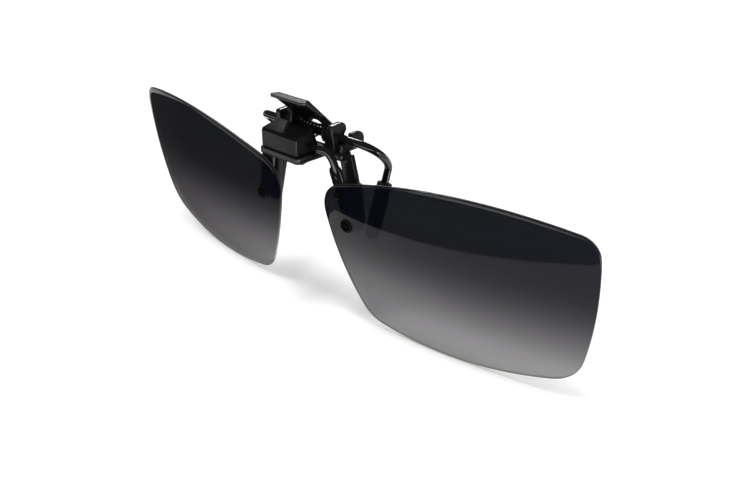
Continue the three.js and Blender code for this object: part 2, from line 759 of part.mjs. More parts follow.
function bracketSide(sign) {
  const handed = (geometry) => (sign > 0 ? geometry : mirrored(geometry));
  const wing = polygon([
    [0, jawAxleY - wingFront], [wingOuter, jawAxleY - wingFront],
    [wingOuter, jawAxleY + wingRear], [0, jawAxleY + wingRear],
  ]);
  const foot = polygon([
    [jawAxleY - bearingFoot, plateBottom], [jawAxleY + bearingFoot, plateBottom],
    [jawAxleY + bearingFoot, jawAxleZ], [jawAxleY - bearingFoot, jawAxleZ],
  ]);
  const arm = strip([[armTopX, armTopZ], [armKneeX, armKneeZ], [armTipX, armTipZ]], armWidth);
  const boss = strip([[jawAxleY, anchorZ], [anchorY, anchorZ]], anchorBossDiameter);
  return [
    alongZ(wing, plateBottom, plateTop),
    alongX(cheekShape(), cheekInner, cheekInner + cheekThickness),
    alongX(foot, bearingInner, bearingOuter),
    rodAlongX(bearingDiameter, bearingInner, bearingOuter, [jawAxleY, jawAxleZ]),
    alongX(boss, bearingInner, bearingInner + anchorBossLength),
    rodAlongX(anchorBossDiameter, bearingInner, bearingInner + anchorBossLength, [anchorY, anchorZ]),
    alongX(bracketEarShape(), earInner, earOuter),
    alongY(arm, armFrontY, armRearY),
  ].map(handed);
}

const reach = 2 * wingOuter;
const bracket = cut(
  join(alongZ(plateShape(), plateBottom, plateTop), ...bracketSide(1), ...bracketSide(-1)),
  rodAlongX(wireBore, -reach, reach, [jawAxleY, jawAxleZ]),
  rodAlongX(anchorDiameter + 2 * runningGap, -bearingOuter, bearingOuter, [anchorY, anchorZ]),
  rivetHole(1), rivetHole(-1));
object.add(mesh('jaw_bracket', toGeometry(bracket), satinBlack));

const upward = new THREE.Vector3(0, 0, 1);
const rivetFootZ = plateBottom - seatGap - rivetHeadHeight;
const rivetLength = rivetHeadHeight + 2 * seatGap + plateThickness + rivetDepth;
for (const [side, sign] of [['right', 1], ['left', -1]]) {
  const rivet = turned([
    [0, 0],
    [rivetHeadDiameter / 2 - rivetHeadEdge, 0],
    [rivetHeadDiameter / 2, rivetHeadEdge],
    [rivetHeadDiameter / 2, rivetHeadHeight],
    [rivetShankDiameter / 2, rivetHeadHeight],
    [rivetShankDiameter / 2, rivetLength],
    [0, rivetLength],
  ], new THREE.Vector3(sign * rivetAcross, rivetY, rivetFootZ), upward);
  object.add(mesh(`${side}_housing_rivet`, toGeometry(solid(rivet)), darkSteel));
}

// Front sleeves: rubber over the arms, with a raised flat where they meet the spectacles.
const armLean = new THREE.Vector2(armTipX - armKneeX, armTipZ - armKneeZ);
const armRun = armLean.length();
const sleeveWidth = armWidth + 2 * (frontSleeveWall + sleeveGap);
const sleeveEnd = armRun + sleeveGap + frontSleeveTip;

function frontSleeve() {
  const half = sleeveWidth / 2;
  const r = frontSleeveRounding;
  const shape = new THREE.Shape();
  shape.moveTo(-half, -frontSleeveStart);
  shape.lineTo(-half, -sleeveEnd + r);
  shape.absarc(-half + r, -sleeveEnd + r, r, Math.PI, 1.5 * Math.PI, false);
  shape.absarc(half - r, -sleeveEnd + r, r, 1.5 * Math.PI, 2 * Math.PI, false);
  shape.lineTo(half, -frontSleeveStart);
  const front = armFrontY - frontSleeveWall - sleeveGap;
  const skin = alongY(shape, front, -frontPadHeight, roundBevel(frontSleeveEdge));
  const side = frontPadWidth / 2;
  const padEnd = frontPadStart + frontPadLength;
  const pad = alongY(
    polygon([[-side, -padEnd], [side, -padEnd], [side, -frontPadStart], [-side, -frontPadStart]]),
    -2 * frontPadHeight, 0);
  const room = armWidth / 2 + sleeveGap;
  const bore = alongY(
    polygon([[-room, overcut], [-room, -armRun - sleeveGap], [room, -armRun - sleeveGap], [room, overcut]]),
    armFrontY - sleeveGap, armRearY + sleeveGap);
  return toGeometry(cut(join(skin, pad), bore));
}

const sleeveTurn = -Math.atan2(armLean.x, -armLean.y);
const rightFrontSleeve = frontSleeve();
for (const [side, sign] of [['right', 1], ['left', -1]]) {
  const geometry = sign > 0 ? rightFrontSleeve : mirrored(rightFrontSleeve);
  const sleeve = mesh(`${side}_front_sleeve`, geometry, rubberBlack);
  sleeve.position.set(sign * armKneeX, 0, armKneeZ);
  sleeve.rotation.y = sign * sleeveTurn;
  object.add(sleeve);
}

// Anchor pin: a cross pin with a domed head at each end.
const pinReach = bearingInner + anchorBossLength + seatGap;
const pinSide = (sign) => turned([
  [0, 0],
  [anchorDiameter / 2, 0],
  [anchorDiameter / 2, pinReach],
  ...dome(anchorHeadDiameter / 2, anchorHeadHeight, pinReach),
], new THREE.Vector3(0, anchorY, anchorZ), new THREE.Vector3(sign, 0, 0));
object.add(mesh('spring_anchor_pin', toGeometry(join(pinSide(1), pinSide(-1))), glossBlack));

// Thumb lever: a sloping web with a lip, and two ears on the axle. Run goes up the web from the foot
// of its standoff, and rise goes away from the axle.
function onLever(run, rise) {
  return [
    jawAxleY - run * Math.cos(leverSlope) + rise * Math.sin(leverSlope),
    jawAxleZ + run * Math.sin(leverSlope) + rise * Math.cos(leverSlope),
  ];
}

const webMiddle = leverStandoff + leverThickness / 2;
const [lipY, lipZ] = onLever(leverWebLength, webMiddle);
const webShape = strip([
  onLever(-leverHeel, webMiddle),
  [lipY, lipZ],
  [lipY - leverLipLength, lipZ - leverLipDip],
], leverThickness);
const earShape = polygon([
  onLever(leverEarRun, webMiddle),
  [jawAxleY - leverThroatAhead, jawAxleZ + leverThroatAbove],
  [jawAxleY - leverEarDiameter / 2, jawAxleZ],
  [jawAxleY, jawAxleZ],
  onLever(-leverHeel, webMiddle),
]);
const leverEarInner = leverWidth / 2 - leverEarThickness;

function leverPlan() {
  const half = leverWidth / 2;
  const r = leverCornerRadius;
  const tip = lipY - leverLipLength;
  const shape = new THREE.Shape();
  shape.moveTo(-half, jawAxleY + leverEarDiameter);
  shape.lineTo(-half, tip + r);
  shape.absarc(-half + r, tip + r, r, Math.PI, 1.5 * Math.PI, false);
  shape.absarc(half - r, tip + r, r, 1.5 * Math.PI, 2 * Math.PI, false);
  shape.lineTo(half, jawAxleY + leverEarDiameter);
  return alongZ(shape, jawAxleZ - leverEarDiameter, lipZ + leverThickness + overcut);
}

function leverEar(sign) {
  const [from, to] = sign > 0 ? [leverEarInner, leverWidth / 2] : [-leverWidth / 2, -leverEarInner];
  return [alongX(earShape, from, to), rodAlongX(leverEarDiameter, from, to, [jawAxleY, jawAxleZ])];
}

const webHole = turned(
  [[0, 0], [leverHoleDiameter / 2, 0], [leverHoleDiameter / 2, 2 * webMiddle], [0, 2 * webMiddle]],
  new THREE.Vector3(leverHoleAcross, ...onLever(leverHoleRun, 0)),
  new THREE.Vector3(0, Math.sin(leverSlope), Math.cos(leverSlope)));
const lever = cut(
  join(alongX(webShape, -leverWidth / 2, leverWidth / 2), ...leverEar(1), ...leverEar(-1))
    .intersect(solid(leverPlan())),
  rodAlongX(wireBore, -leverWidth, leverWidth, [jawAxleY, jawAxleZ]),
  webHole);
object.add(mesh('thumb_lever', toGeometry(lever), satinBlack));

// Rear wire: the axle through the bearings, bent on each side to a prong that points down.
const prongTop = new THREE.Vector3(prongTopX, prongTopY, prongTopZ);
const prongTip = new THREE.Vector3(prongTipX, prongTipY, prongTipZ);
const prongDown = prongTip.clone().sub(prongTop).normalize();
const jaw = (x, sign = 1) => new THREE.Vector3(sign * x, jawAxleY, jawAxleZ);

function rearPath() {
  const bend = (sign) => [
    jaw(rearWireStraight, sign),
    jaw(rearWireStraight + rearUpperBend, sign),
    toSide(prongTop.clone().addScaledVector(prongDown, -rearLowerBend), sign),
    toSide(prongTop, sign),
  ];
  const path = new THREE.CurvePath();
  path.add(new THREE.LineCurve3(toSide(prongTip, -1), toSide(prongTop, -1)));
  path.add(new THREE.CubicBezierCurve3(...bend(-1).reverse()));
  path.add(new THREE.LineCurve3(jaw(rearWireStraight, -1), jaw(rearWireStraight)));
  path.add(new THREE.CubicBezierCurve3(...bend(1)));
  path.add(new THREE.LineCurve3(prongTop, prongTip));
  return path;
}

const rearWire = solid(wire(rearPath(), rearWireDiameter, rearSteps));
object.add(mesh('rear_wire', toGeometry(rearWire), glossBlack));

// Rear sleeves: rubber tubes with a closed round tip, on the prongs.
const rearBore = rearWireDiameter / 2 + sleeveGap;
const rearTip = rearSleeveDiameter / 2;
const rearSleeveGeometry = toGeometry(solid(turned([
  ...dome(rearTip, rearTip).map(([r, h]) => [r, rearTip - h]).reverse(),
  [rearTip, rearSleeveLength],
  [rearBore, rearSleeveLength],
  [rearBore, rearSleeveTip],
  [0, rearSleeveTip],
], prongTip.clone().addScaledVector(prongDown, rearSleeveTip + sleeveGap), prongDown.clone().negate())));
for (const [side, sign] of [['right', 1], ['left', -1]]) {
  const geometry = sign > 0 ? rearSleeveGeometry : mirrored(rearSleeveGeometry);
  object.add(mesh(`${side}_rear_sleeve`, geometry, rubberBlack));
}

// Torsion spring: a leg along the lever's web, turns round the axle, and a leg before the anchor pin.
function springPoints() {
  const footTurn = Math.PI / 2 - leverSlope;
  const onCoil = (turn, x) => new THREE.Vector3(
    x, jawAxleY + coilMeanRadius * Math.cos(turn), jawAxleZ + coilMeanRadius * Math.sin(turn));
  const sweep = coilTurns * 2 * Math.PI + footTurn;
  const steps = Math.round((sweep / (2 * Math.PI)) * coilStepsPerTurn);
  const points = [];
  const [legY, legZ] = onLever(coilLeverLeg, coilMeanRadius);
  points.push(new THREE.Vector3(coilStartX, legY, legZ));
  for (let i = 0; i <= steps; i += 1) {
    const turn = footTurn - (sweep * i) / steps;
    points.push(onCoil(turn, coilStartX + (coilPitch * (footTurn - turn)) / (2 * Math.PI)));
  }
  const last = points[points.length - 1];
  points.push(new THREE.Vector3(last.x, last.y, last.z - coilAnchorLeg));
  return points;
}

// A tube through a list of points, with a ring of corners at each one.
function tubeThrough(points, diameter, sides) {
  const places = [];
  const triangles = [];
  const axis = new THREE.Vector3(1, 0, 0);
  points.forEach((point, i) => {
    const ahead = points[Math.min(i + 1, points.length - 1)].clone().sub(point).normalize();
    const behind = point.clone().sub(points[Math.max(i - 1, 0)]).normalize();
    const along = ahead.add(behind).normalize();
    const aside = axis.clone().addScaledVector(along, -axis.dot(along)).normalize();
    const over = new THREE.Vector3().crossVectors(along, aside);
    for (let k = 0; k < sides; k += 1) {
      const turn = (k / sides) * 2 * Math.PI;
      places.push(point.clone()
        .addScaledVector(aside, (diameter / 2) * Math.cos(turn))
        .addScaledVector(over, (diameter / 2) * Math.sin(turn)));
    }
  });
  const at = (i, k) => i * sides + (k % sides);
  for (let k = 0; k < sides; k += 1) {
    for (let i = 0; i + 1 < points.length; i += 1) {
      triangles.push(at(i, k), at(i, k + 1), at(i + 1, k));
      triangles.push(at(i, k + 1), at(i + 1, k + 1), at(i + 1, k));
    }
  }
  for (let k = 1; k + 1 < sides; k += 1) {
    const end = points.length - 1;
    triangles.push(at(0, 0), at(0, k + 1), at(0, k), at(end, 0), at(end, k), at(end, k + 1));
  }
  const geometry = new THREE.BufferGeometry().setFromPoints(places);
  geometry.setIndex(triangles);
  geometry.computeVertexNormals();
  return geometry;
}

const spring = springPoints();
object.add(mesh('torsion_spring', tubeThrough(spring, coilWireDiameter, coilSides), darkSteel));

// Least gap of the spring to itself, between points half a turn or more apart.
let springGap = Infinity;
spring.forEach((point, i) => {
  spring.slice(i + coilStepsPerTurn / 2).forEach((other) => {
    springGap = Math.min(springGap, point.distanceTo(other) - coilWireDiameter);
  });
});
console.log(`torsion_spring least gap to itself: ${springGap.toFixed(2)} mm`);

export default object;
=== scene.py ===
"""Looks for a pair of clip-on flip-up glasses, on the packed model's frame.

The file is laid out as an add-on and run as a script. Every new piece is a surface worked out with numpy in the
frame's own metres: +X to the right as seen from the front, +Y back to the wearer and +Z up. The rivets, anchor
pin and detent leaf keep their CAD shape.
"""
import json
import math

import bpy
import numpy as np
from mathutils import Matrix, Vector
from mathutils.geometry import delaunay_2d_cdt


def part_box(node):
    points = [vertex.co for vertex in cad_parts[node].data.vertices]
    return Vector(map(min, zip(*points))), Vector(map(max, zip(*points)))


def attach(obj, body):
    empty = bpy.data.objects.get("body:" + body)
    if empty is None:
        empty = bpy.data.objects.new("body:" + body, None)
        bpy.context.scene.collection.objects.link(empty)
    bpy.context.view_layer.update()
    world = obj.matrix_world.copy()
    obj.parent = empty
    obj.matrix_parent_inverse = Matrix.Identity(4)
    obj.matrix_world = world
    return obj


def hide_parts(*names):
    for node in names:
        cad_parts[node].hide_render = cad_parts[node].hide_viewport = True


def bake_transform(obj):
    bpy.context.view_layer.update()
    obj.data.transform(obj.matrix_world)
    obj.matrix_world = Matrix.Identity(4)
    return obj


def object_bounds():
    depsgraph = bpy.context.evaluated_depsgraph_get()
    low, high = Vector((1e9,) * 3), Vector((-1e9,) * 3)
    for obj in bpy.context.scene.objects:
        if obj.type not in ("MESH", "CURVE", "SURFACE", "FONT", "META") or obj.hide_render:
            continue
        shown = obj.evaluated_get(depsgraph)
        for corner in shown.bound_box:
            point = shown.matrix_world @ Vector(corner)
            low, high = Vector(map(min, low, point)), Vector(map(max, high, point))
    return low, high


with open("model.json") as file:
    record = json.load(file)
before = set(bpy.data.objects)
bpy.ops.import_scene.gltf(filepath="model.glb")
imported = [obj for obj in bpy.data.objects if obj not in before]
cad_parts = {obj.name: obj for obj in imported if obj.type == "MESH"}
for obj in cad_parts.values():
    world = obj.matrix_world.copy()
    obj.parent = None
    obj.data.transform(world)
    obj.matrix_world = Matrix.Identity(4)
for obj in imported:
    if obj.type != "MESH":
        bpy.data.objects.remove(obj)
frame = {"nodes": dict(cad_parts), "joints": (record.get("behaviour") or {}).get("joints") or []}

bl_info = {
    "name": "Clip-on flip-up glasses",
    "version": (1, 0, 0),
    "blender": (4, 5, 0),
    "location": "View3D > Sidebar > Clip-on",
    "description": "Builds the looks of a pair of clip-on flip-up glasses on its packed frame",
    "category": "Object",
}

MM = 0.001
CAD_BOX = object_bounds()
JOINTS = {joint["name"]: joint for joint in frame["joints"]}
FLIP_AXLE = np.array(JOINTS["lens_flip"]["pos_m"])
JAW_AXLE = np.array(JOINTS["jaw_open"]["pos_m"])
SIDES = {"right": 1, "left": -1}

ROUND_SIDES = 48
EDGE_ARC = 5
CORNER_STEPS = 10


def length(name, description, millimetres):
    """A size, given in millimetres and kept in metres."""
    return bpy.props.FloatProperty(
        name=name, description=description, default=millimetres * MM, precision=5, unit="LENGTH")


def angle(name, description, degrees):
    return bpy.props.FloatProperty(
        name=name, description=description, default=math.radians(degrees), subtype="ANGLE")


def number(name, description, default):
    return bpy.props.FloatProperty(name=name, description=description, default=default, precision=4)


def colour(name, description, red, green, blue):
    return bpy.props.FloatVectorProperty(
        name=name, description=description, default=(red, green, blue), size=3, min=0, max=1, subtype="COLOR")


class LensSettings(bpy.types.PropertyGroup):
    """Outline, bend and place of the lenses; the outline is measured from its inner top corner."""
    width: length("Width", "Chord of the top edge", 60)
    top_rise: length("Top rise", "Height of the outer top corner over the inner one", 3.25)
    outer_drop: length("Outer drop", "Depth of the outer bottom corner", 26.35)
    outer_inset: length("Outer inset", "How far the outer bottom corner lies in from the top one", 3.95)
    inner_drop: length("Inner drop", "Depth of the inner bottom corner", 27.9)
    inner_inset: length("Inner inset", "How far the inner bottom corner lies out from the top one", 9.95)
    top_bulge: length("Top bulge", "Height of the top edge over its chord", 4.6)
    outer_bulge: length("Outer bulge", "Height of the outer edge over its chord", 1.6)
    bottom_bulge: length("Bottom bulge", "Height of the bottom edge over its chord", 2.8)
    inner_bulge: length("Inner bulge", "Height of the inner edge over its chord", 1.65)
    inner_top_radius: length("Inner top radius", "Round of the inner top corner", 3.95)
    outer_top_radius: length("Outer top radius", "Round of the outer top corner", 2.85)
    outer_bottom_radius: length("Outer bottom radius", "Round of the outer bottom corner", 5.6)
    inner_bottom_radius: length("Inner bottom radius", "Round of the inner bottom corner", 4.2)
    thickness: length("Thickness", "Thickness of the sheet", 0.8)
    edge_round: length("Edge round", "Round of the polished edge", 0.22)
    curve_radius: length("Curve radius", "Radius that the sheet is bent to", 180)
    pole_across: length("Pole across", "Place of the sheet's middle along its width", 30)
    pole_drop: length("Pole drop", "Depth of the sheet's middle", 18)
    bridge_gap: length("Bridge gap", "Gap between the inner top corners before they are rounded", 12.2)
    wrap: angle("Wrap", "Turn of the lens round the face", 7.25)
    tilt: angle("Tilt", "Lean of the lens, top forward", 10.25)
    setback: length("Setback", "Pole behind the flip axle", 4.7)
    drop: length("Drop", "Pole below the flip axle", 25.6)
    seat_gap: length("Seat gap", "Gap between the lens and what lies on it", 0.08)
    top_tint: colour("Top tint", "Body colour of the dense part", 0.0012, 0.0018, 0.0045)
    low_tint: colour("Low tint", "Body colour of the pale part", 0.025, 0.012, 0.024)
    # The edge's colour is also the colour of its painted glow.
    edge_glow_tint: colour("Edge tint", "Colour of the polished edge", 0.5, 0.49, 0.39)
    dense_pass: number("Pass at the top", "Share of light that one face lets through, at the top", 0.085)
    clear_pass: number("Pass at the bottom", "Share of light that one face lets through, at the bottom", 0.61)
    # The loss at a slant is partly the longer path through the tint and partly painted shade.
    slant_shade_pass: number("Pass at a slant", "What is left of that share along the face", 0.25)
    slant_shade_start: number("Slant start", "How far the face turns away before the loss starts", 0.35)
    fade_top: length("Fade top", "Height where the tint starts to fade", 0.7)
    fade_bottom: length("Fade bottom", "Height where the tint is palest", -27.5)


class FixingSettings(bpy.types.PropertyGroup):
    """Screws, bushes and studs, placed from the lens's inner top corner."""
    screw_across: length("Screw across", "Place of the screw along the lens", 6.85)
    screw_drop: length("Screw drop", "Depth of the screw", 6.75)
    screw_head: length("Screw head", "Diameter of the screw's head", 2.6)
    screw_height: length("Screw head height", "Height of the screw's dome", 0.42)
    screw_slot: length("Screw slot", "Width of the driver's cross", 0.42)
    screw_slot_depth: length("Screw slot depth", "Depth of the driver's cross", 0.3)
    screw_shank: length("Screw shank", "Diameter of the screw's shank", 1.2)
    bush_flange: length("Bush flange", "Diameter of the bush's flange", 3.1)
    bush_height: length("Bush height", "Thickness of the bush's flange", 0.15)
    stud_across: length("Stud across", "Place of the stud along the lens", 5.2)
    stud_drop: length("Stud drop", "Depth of the stud", 0.4)
    stud_head: length("Stud head", "Diameter of the stud's head", 1.9)
    stud_height: length("Stud height", "Height of the stud's dome", 0.3)
    stud_shank: length("Stud shank", "Diameter of the stud's shank", 0.9)
    peen_height: length("Peen height", "Height of the shank's dome behind the blade", 0.16)


class YokeSettings(bpy.types.PropertyGroup):
    """The wire that carries the lenses, and the blade at each of its ends."""
    diameter: length("Wire diameter", "Thickness of the yoke's wire", 1.6)
    shoulder: length("Shoulder", "Straight wire outside the housing", 1.2)
    upper_bend: length("Upper bend", "Reach of the bend's handle at the housing", 1.2)
    lower_bend: length("Lower bend", "Reach of the bend's handle at the blade", 4.5)
    land: length("Land", "Where the wire meets the blade, above the stud", 5.0)
    lap: length("Lap", "Length of wire that runs down the blade", 2.6)
    proud: length("Proud", "How far the wire stands out behind the blade's middle", 0.1)
    blade_width: length("Blade width", "Width of the blade", 3.4)
    blade_thickness: length("Blade thickness", "Thickness of the blade", 0.8)
    blade_top: length("Blade top", "Blade above the stud", 5.6)
    blade_top_width: length("Blade top width", "Width of the blade's top", 2.6)
    blade_taper: length("Blade taper", "Length over which the blade narrows to its top", 1.2)
    blade_edge: length("Blade edge", "Round of the blade's edges", 0.2)
    end_round: length("End round", "Round of the blade's lower end", 1.6)


class HousingSettings(bpy.types.PropertyGroup):
    """The hinge housing, measured from the flip axle."""
    front_height: length("Front height", "Top of the front face over the axle", 2.35)
    chamfer_depth: length("Chamfer depth", "How far the chamfer runs back", 0.35)
    chamfer_height: length("Chamfer height", "How far the chamfer rises", 0.6)
    top_rear: length("Top rear", "Rear of the top behind the axle", 0.5)
    rear_step: length("Rear step", "Height where the rear wall starts to slope", 1.6)
    corner: length("Corner", "Round of the side's corners", 0.3)
    edge: length("Edge", "Round of the edges along the sides", 0.3)


class BracketSettings(bpy.types.PropertyGroup):
    """The plate, cheeks, bearings, ears and arms of the clip."""
    plate_thickness: length("Plate thickness", "Thickness of the plate under the housing", 1.3)
    plate_front_lip: length("Front lip", "Plate past the housing's front", 0.25)
    plate_side_lip: length("Side lip", "Plate past the housing's sides", 0.6)
    plate_rear: length("Plate rear", "Rear of the plate behind the flip axle", 3.3)
    plate_corner: length("Plate corner", "Round of the plate's front corners", 0.8)
    plate_edge: length("Plate edge", "Round of the plate's edges", 0.22)
    seat_gap: length("Seat gap", "Gap between the plate and the housing", 0.08)
    wing_front: length("Wing front", "Wings ahead of the jaw axle", 2.0)
    wing_rear: length("Wing rear", "Wings behind the jaw axle", 1.0)
    wing_outer: length("Wing outer", "Reach of the wings", 10.35)
    cheek_inner: length("Cheek inner", "Inner side of a cheek", 7.0)
    cheek_thickness: length("Cheek thickness", "Thickness of a cheek", 1.35)
    cheek_foot: length("Cheek foot", "Front of a cheek ahead of the jaw axle, at the plate", 1.8)
    cheek_front: length("Cheek front", "Front of a cheek ahead of the jaw axle, at its head", 2.6)
    cheek_height: length("Cheek height", "Top of a cheek over the jaw axle", 3.2)
    cheek_front_drop: length("Cheek front drop", "Fall of the head towards its front", 0.35)
    cheek_lobe: length("Cheek lobe", "Rear of the head behind the jaw axle", 1.6)
    cheek_lobe_height: length("Cheek lobe height", "Foot of the lobe over the jaw axle", 1.3)
    cheek_waist: length("Cheek waist", "Rear of a cheek under its head", 1.0)
    cheek_waist_height: length("Cheek waist height", "Where the rear narrows, over the jaw axle", 0.6)
    bearing_diameter: length("Bearing diameter", "Outside of a bearing", 3.4)
    bearing_inner: length("Bearing inner", "Inner end of a bearing", 5.2)
    bearing_length: length("Bearing length", "Length of a bearing", 1.9)
    ear_inner: length("Ear inner", "Inner side of an ear", 8.8)
    ear_outer: length("Ear outer", "Outer side of an ear", 9.8)
    ear_reach: length("Ear reach", "Rear of an ear behind the jaw axle", 5.0)
    ear_top: length("Ear top", "Top of an ear over the jaw axle", 0.85)
    ear_top_start: length("Ear top start", "Front of an ear's top behind the jaw axle", 1.3)
    ear_bottom: length("Ear bottom", "Lower edge of an ear below the jaw axle", 2.65)
    ear_foot: length("Ear foot", "Foot of an ear below the jaw axle", 3.0)
    ear_foot_rear: length("Ear foot rear", "Rear of an ear's foot behind the jaw axle", 0.9)
    ear_neck: length("Ear neck", "Top of an ear's neck below the jaw axle", 0.95)
    ear_neck_front: length("Ear neck front", "Front of an ear's neck ahead of the jaw axle", 1.3)
    arm_width: length("Arm width", "Width of a front arm", 3.8)
    arm_thickness: length("Arm thickness", "Thickness of a front arm", 0.9)
    arm_rear: length("Arm rear", "Rear face of a front arm ahead of the grip plane", 0.43)
    arm_top_x: length("Arm top across", "Top of an arm", 10.45)
    arm_top_z: length("Arm top height", "Top of an arm", 11.4)
    arm_knee_x: length("Arm knee across", "Bend of an arm", 11.9)
    arm_knee_z: length("Arm knee height", "Bend of an arm", 6.2)
    arm_tip_x: length("Arm tip across", "Tip of an arm", 12.9)
    arm_tip_z: length("Arm tip height", "Tip of an arm", -3.2)
    anchor_behind: length("Anchor behind", "Spring's anchor pin behind the jaw axle", 2.1)
    anchor_below: length("Anchor below", "Spring's anchor pin below the jaw axle", 1.5)
    anchor_boss: length("Anchor boss", "Diameter of the pin's boss", 2.2)
    anchor_boss_length: length("Anchor boss length", "Length of the pin's boss", 1.2)


class LeverSettings(bpy.types.PropertyGroup):
    """The thumb lever; run goes up its web, and rise goes away from the jaw axle."""
    width: length("Width", "Width of the lever", 10)
    thickness: length("Thickness", "Thickness of the lever's sheet", 0.6)
    slope: angle("Slope", "Slope of the web", 46)
    standoff: length("Standoff", "Underside of the web from the axle", 1.58)
    web: length("Web", "Length of the web", 8.65)
    heel: length("Heel", "Web past the foot of the standoff", 0.3)
    lip: length("Lip", "Length of the lip", 2.0)
    lip_dip: length("Lip dip", "How far the lip dips", 0.15)
    bend: length("Bend", "Radius of the bend at the lip", 1.0)
    corner: length("Corner", "Round of the lip's corners", 0.8)
    ear_thickness: length("Ear thickness", "Thickness of the side ears", 0.7)
    ear_diameter: length("Ear diameter", "Round of the ears at the axle", 3.4)
    ear_run: length("Ear run", "How far the ears reach up the web", 5.4)
    throat_ahead: length("Throat ahead", "Ear's throat ahead of the axle", 1.5)
    throat_above: length("Throat above", "Ear's throat over the axle", 3.0)
    notch_width: length("Notch width", "Width of the cut over the coil, at the web's foot", 2.8)
    notch_depth: length("Notch depth", "Depth of that cut", 1.5)
    hole_diameter: length("Hole diameter", "Small hole in the web", 1.3)
    hole_across: length("Hole across", "Place of the hole", -1.8)
    hole_run: length("Hole run", "Place of the hole up the web", 6.5)
    edge: length("Edge", "Round of the sheet's edges", 0.12)


class JawWireSettings(bpy.types.PropertyGroup):
    """The rear wire, its sleeves and the front sleeves."""
    diameter: length("Wire diameter", "Thickness of the rear wire", 1.6)
    straight: length("Straight", "Where the axle ends and the bend starts", 13.0)
    upper_bend: length("Upper bend", "Reach of the bend's handle at the axle", 5.15)
    lower_bend: length("Lower bend", "Reach of the bend's handle at the prong", 1.95)
    prong_top: bpy.props.FloatVectorProperty(
        name="Prong top", description="Top of the right prong", size=3, subtype="TRANSLATION", unit="LENGTH",
        default=(15.66 * MM, 5.4 * MM, 8.0 * MM))
    prong_tip: bpy.props.FloatVectorProperty(
        name="Prong tip", description="End of the right prong", size=3, subtype="TRANSLATION", unit="LENGTH",
        default=(15.05 * MM, 1.65 * MM, -4.4 * MM))
    sleeve_diameter: length("Sleeve diameter", "Outside of a rear sleeve", 3.05)
    sleeve_length: length("Sleeve length", "Length of a rear sleeve", 12.0)
    sleeve_tip: length("Sleeve tip", "Rubber past the end of the wire", 1.68)
    sleeve_rim: length("Sleeve rim", "Round of the sleeve's open end", 0.25)
    front_width: length("Front sleeve width", "Width of a front sleeve", 4.66)
    front_depth: length("Front sleeve depth", "Depth of a front sleeve", 1.61)
    pad_height: length("Pad height", "Rise of the flat that meets the spectacles", 0.15)
    pad_width: length("Pad width", "Width of the flat", 2.8)
    pad_start: length("Pad start", "Top of the flat below the arm's bend", 0.7)
    pad_length: length("Pad length", "Length of the flat", 6.0)
    front_start: length("Front sleeve start", "Top of a front sleeve below the arm's bend", 0.08)
    front_past: length("Front sleeve past", "Rubber past the tip of the arm", 0.58)
    front_round: length("Front sleeve round", "Round of the sleeve's tip", 1.5)


class SpringSettings(bpy.types.PropertyGroup):
    """The torsion spring round the jaw axle."""
    wire: length("Wire", "Thickness of the spring's wire", 0.45)
    radius: length("Radius", "Middle of the coil's wire from the axle", 1.25)
    pitch: length("Pitch", "Distance from turn to turn", 1.0)
    turns: bpy.props.IntProperty(name="Turns", description="Whole turns of the coil", default=5, min=1)
    start: length("Start", "Place of the first turn", -3.3)
    lever_leg: length("Lever leg", "Length of the leg under the lever", 4.6)
    anchor_leg: length("Anchor leg", "Length of the leg at the anchor pin", 2.5)


class FinishSettings(bpy.types.PropertyGroup):
    """Colours of the finishes."""
    gloss_black: colour("Gloss black", "Lacquered wire and screws", 0.003, 0.003, 0.0032)
    satin_black: colour("Satin black", "Housing, bracket and lever", 0.0055, 0.0052, 0.005)
    rubber: colour("Rubber", "Sleeves", 0.004, 0.004, 0.0043)
    spring_steel: colour("Spring steel", "Springs and rivets", 0.02, 0.0195, 0.019)
    bush: colour("Bush", "Bushes under the screw heads", 0.004, 0.004, 0.0045)


class StageSettings(bpy.types.PropertyGroup):
    """Camera, floor and lights."""
    camera_place: bpy.props.FloatVectorProperty(
        name="Camera place", description="Where the camera stands", size=3, subtype="TRANSLATION",
        unit="LENGTH", default=(132.65 * MM, -117.64 * MM, 73.79 * MM))
    azimuth: angle("Azimuth", "Camera's turn to the right of the front", 44.44)
    elevation: angle("Elevation", "Camera's height over the horizon", 25.556)
    roll: angle("Roll", "Camera's roll", -0.181)
    focal: bpy.props.FloatProperty(name="Focal length", description="Lens of the camera", default=44.16)
    floor_colour: colour("Floor", "Colour of the floor", 0.85, 0.85, 0.85)
    floor_glow: number("Floor glow", "White that the floor adds where it is seen", 0.2)
    floor_gap: length("Floor gap", "Floor below the lenses", 0.1)
    card_start: length("Card start", "Edge of the dark card ahead of the grip plane, at the middle", 31.8)
    card_lean: number("Card lean", "How far the card's edge runs forward for each length to the right", 0.122)
    card_end: length("Card end", "Front of the dark card ahead of the grip plane", 84)
    card_side: length("Card side", "Where the dark card also covers the left, from the middle", 24)
    card_left: length("Card left", "Left end of the dark card, from the middle", 170)
    card_right: length("Card right", "Right end of the dark card, from the middle", 80)
    card_back: length("Card back", "Back of the dark card behind the grip plane", 14)
    rear_card_side: length("Rear card side", "Left end of the rear card, from the middle", 60)
    rear_card_start: length("Rear card start", "Front of the rear card behind the grip plane", 40)
    rear_card_size: length("Rear card size", "Side of the square rear card", 50)
    card_glow: number("Card glow", "Brightness of the cards", 0.06)
    world_glow: number("World glow", "Brightness of the plain world", 0.12)


POINTERS = {
    "clip_lens": LensSettings, "clip_fixing": FixingSettings, "clip_yoke": YokeSettings,
    "clip_housing": HousingSettings, "clip_bracket": BracketSettings, "clip_lever": LeverSettings,
    "clip_jaw": JawWireSettings, "clip_spring": SpringSettings, "clip_finish": FinishSettings,
    "clip_stage": StageSettings,
}


# Surfaces: each function returns a shell, which is an array of points and a list of faces.

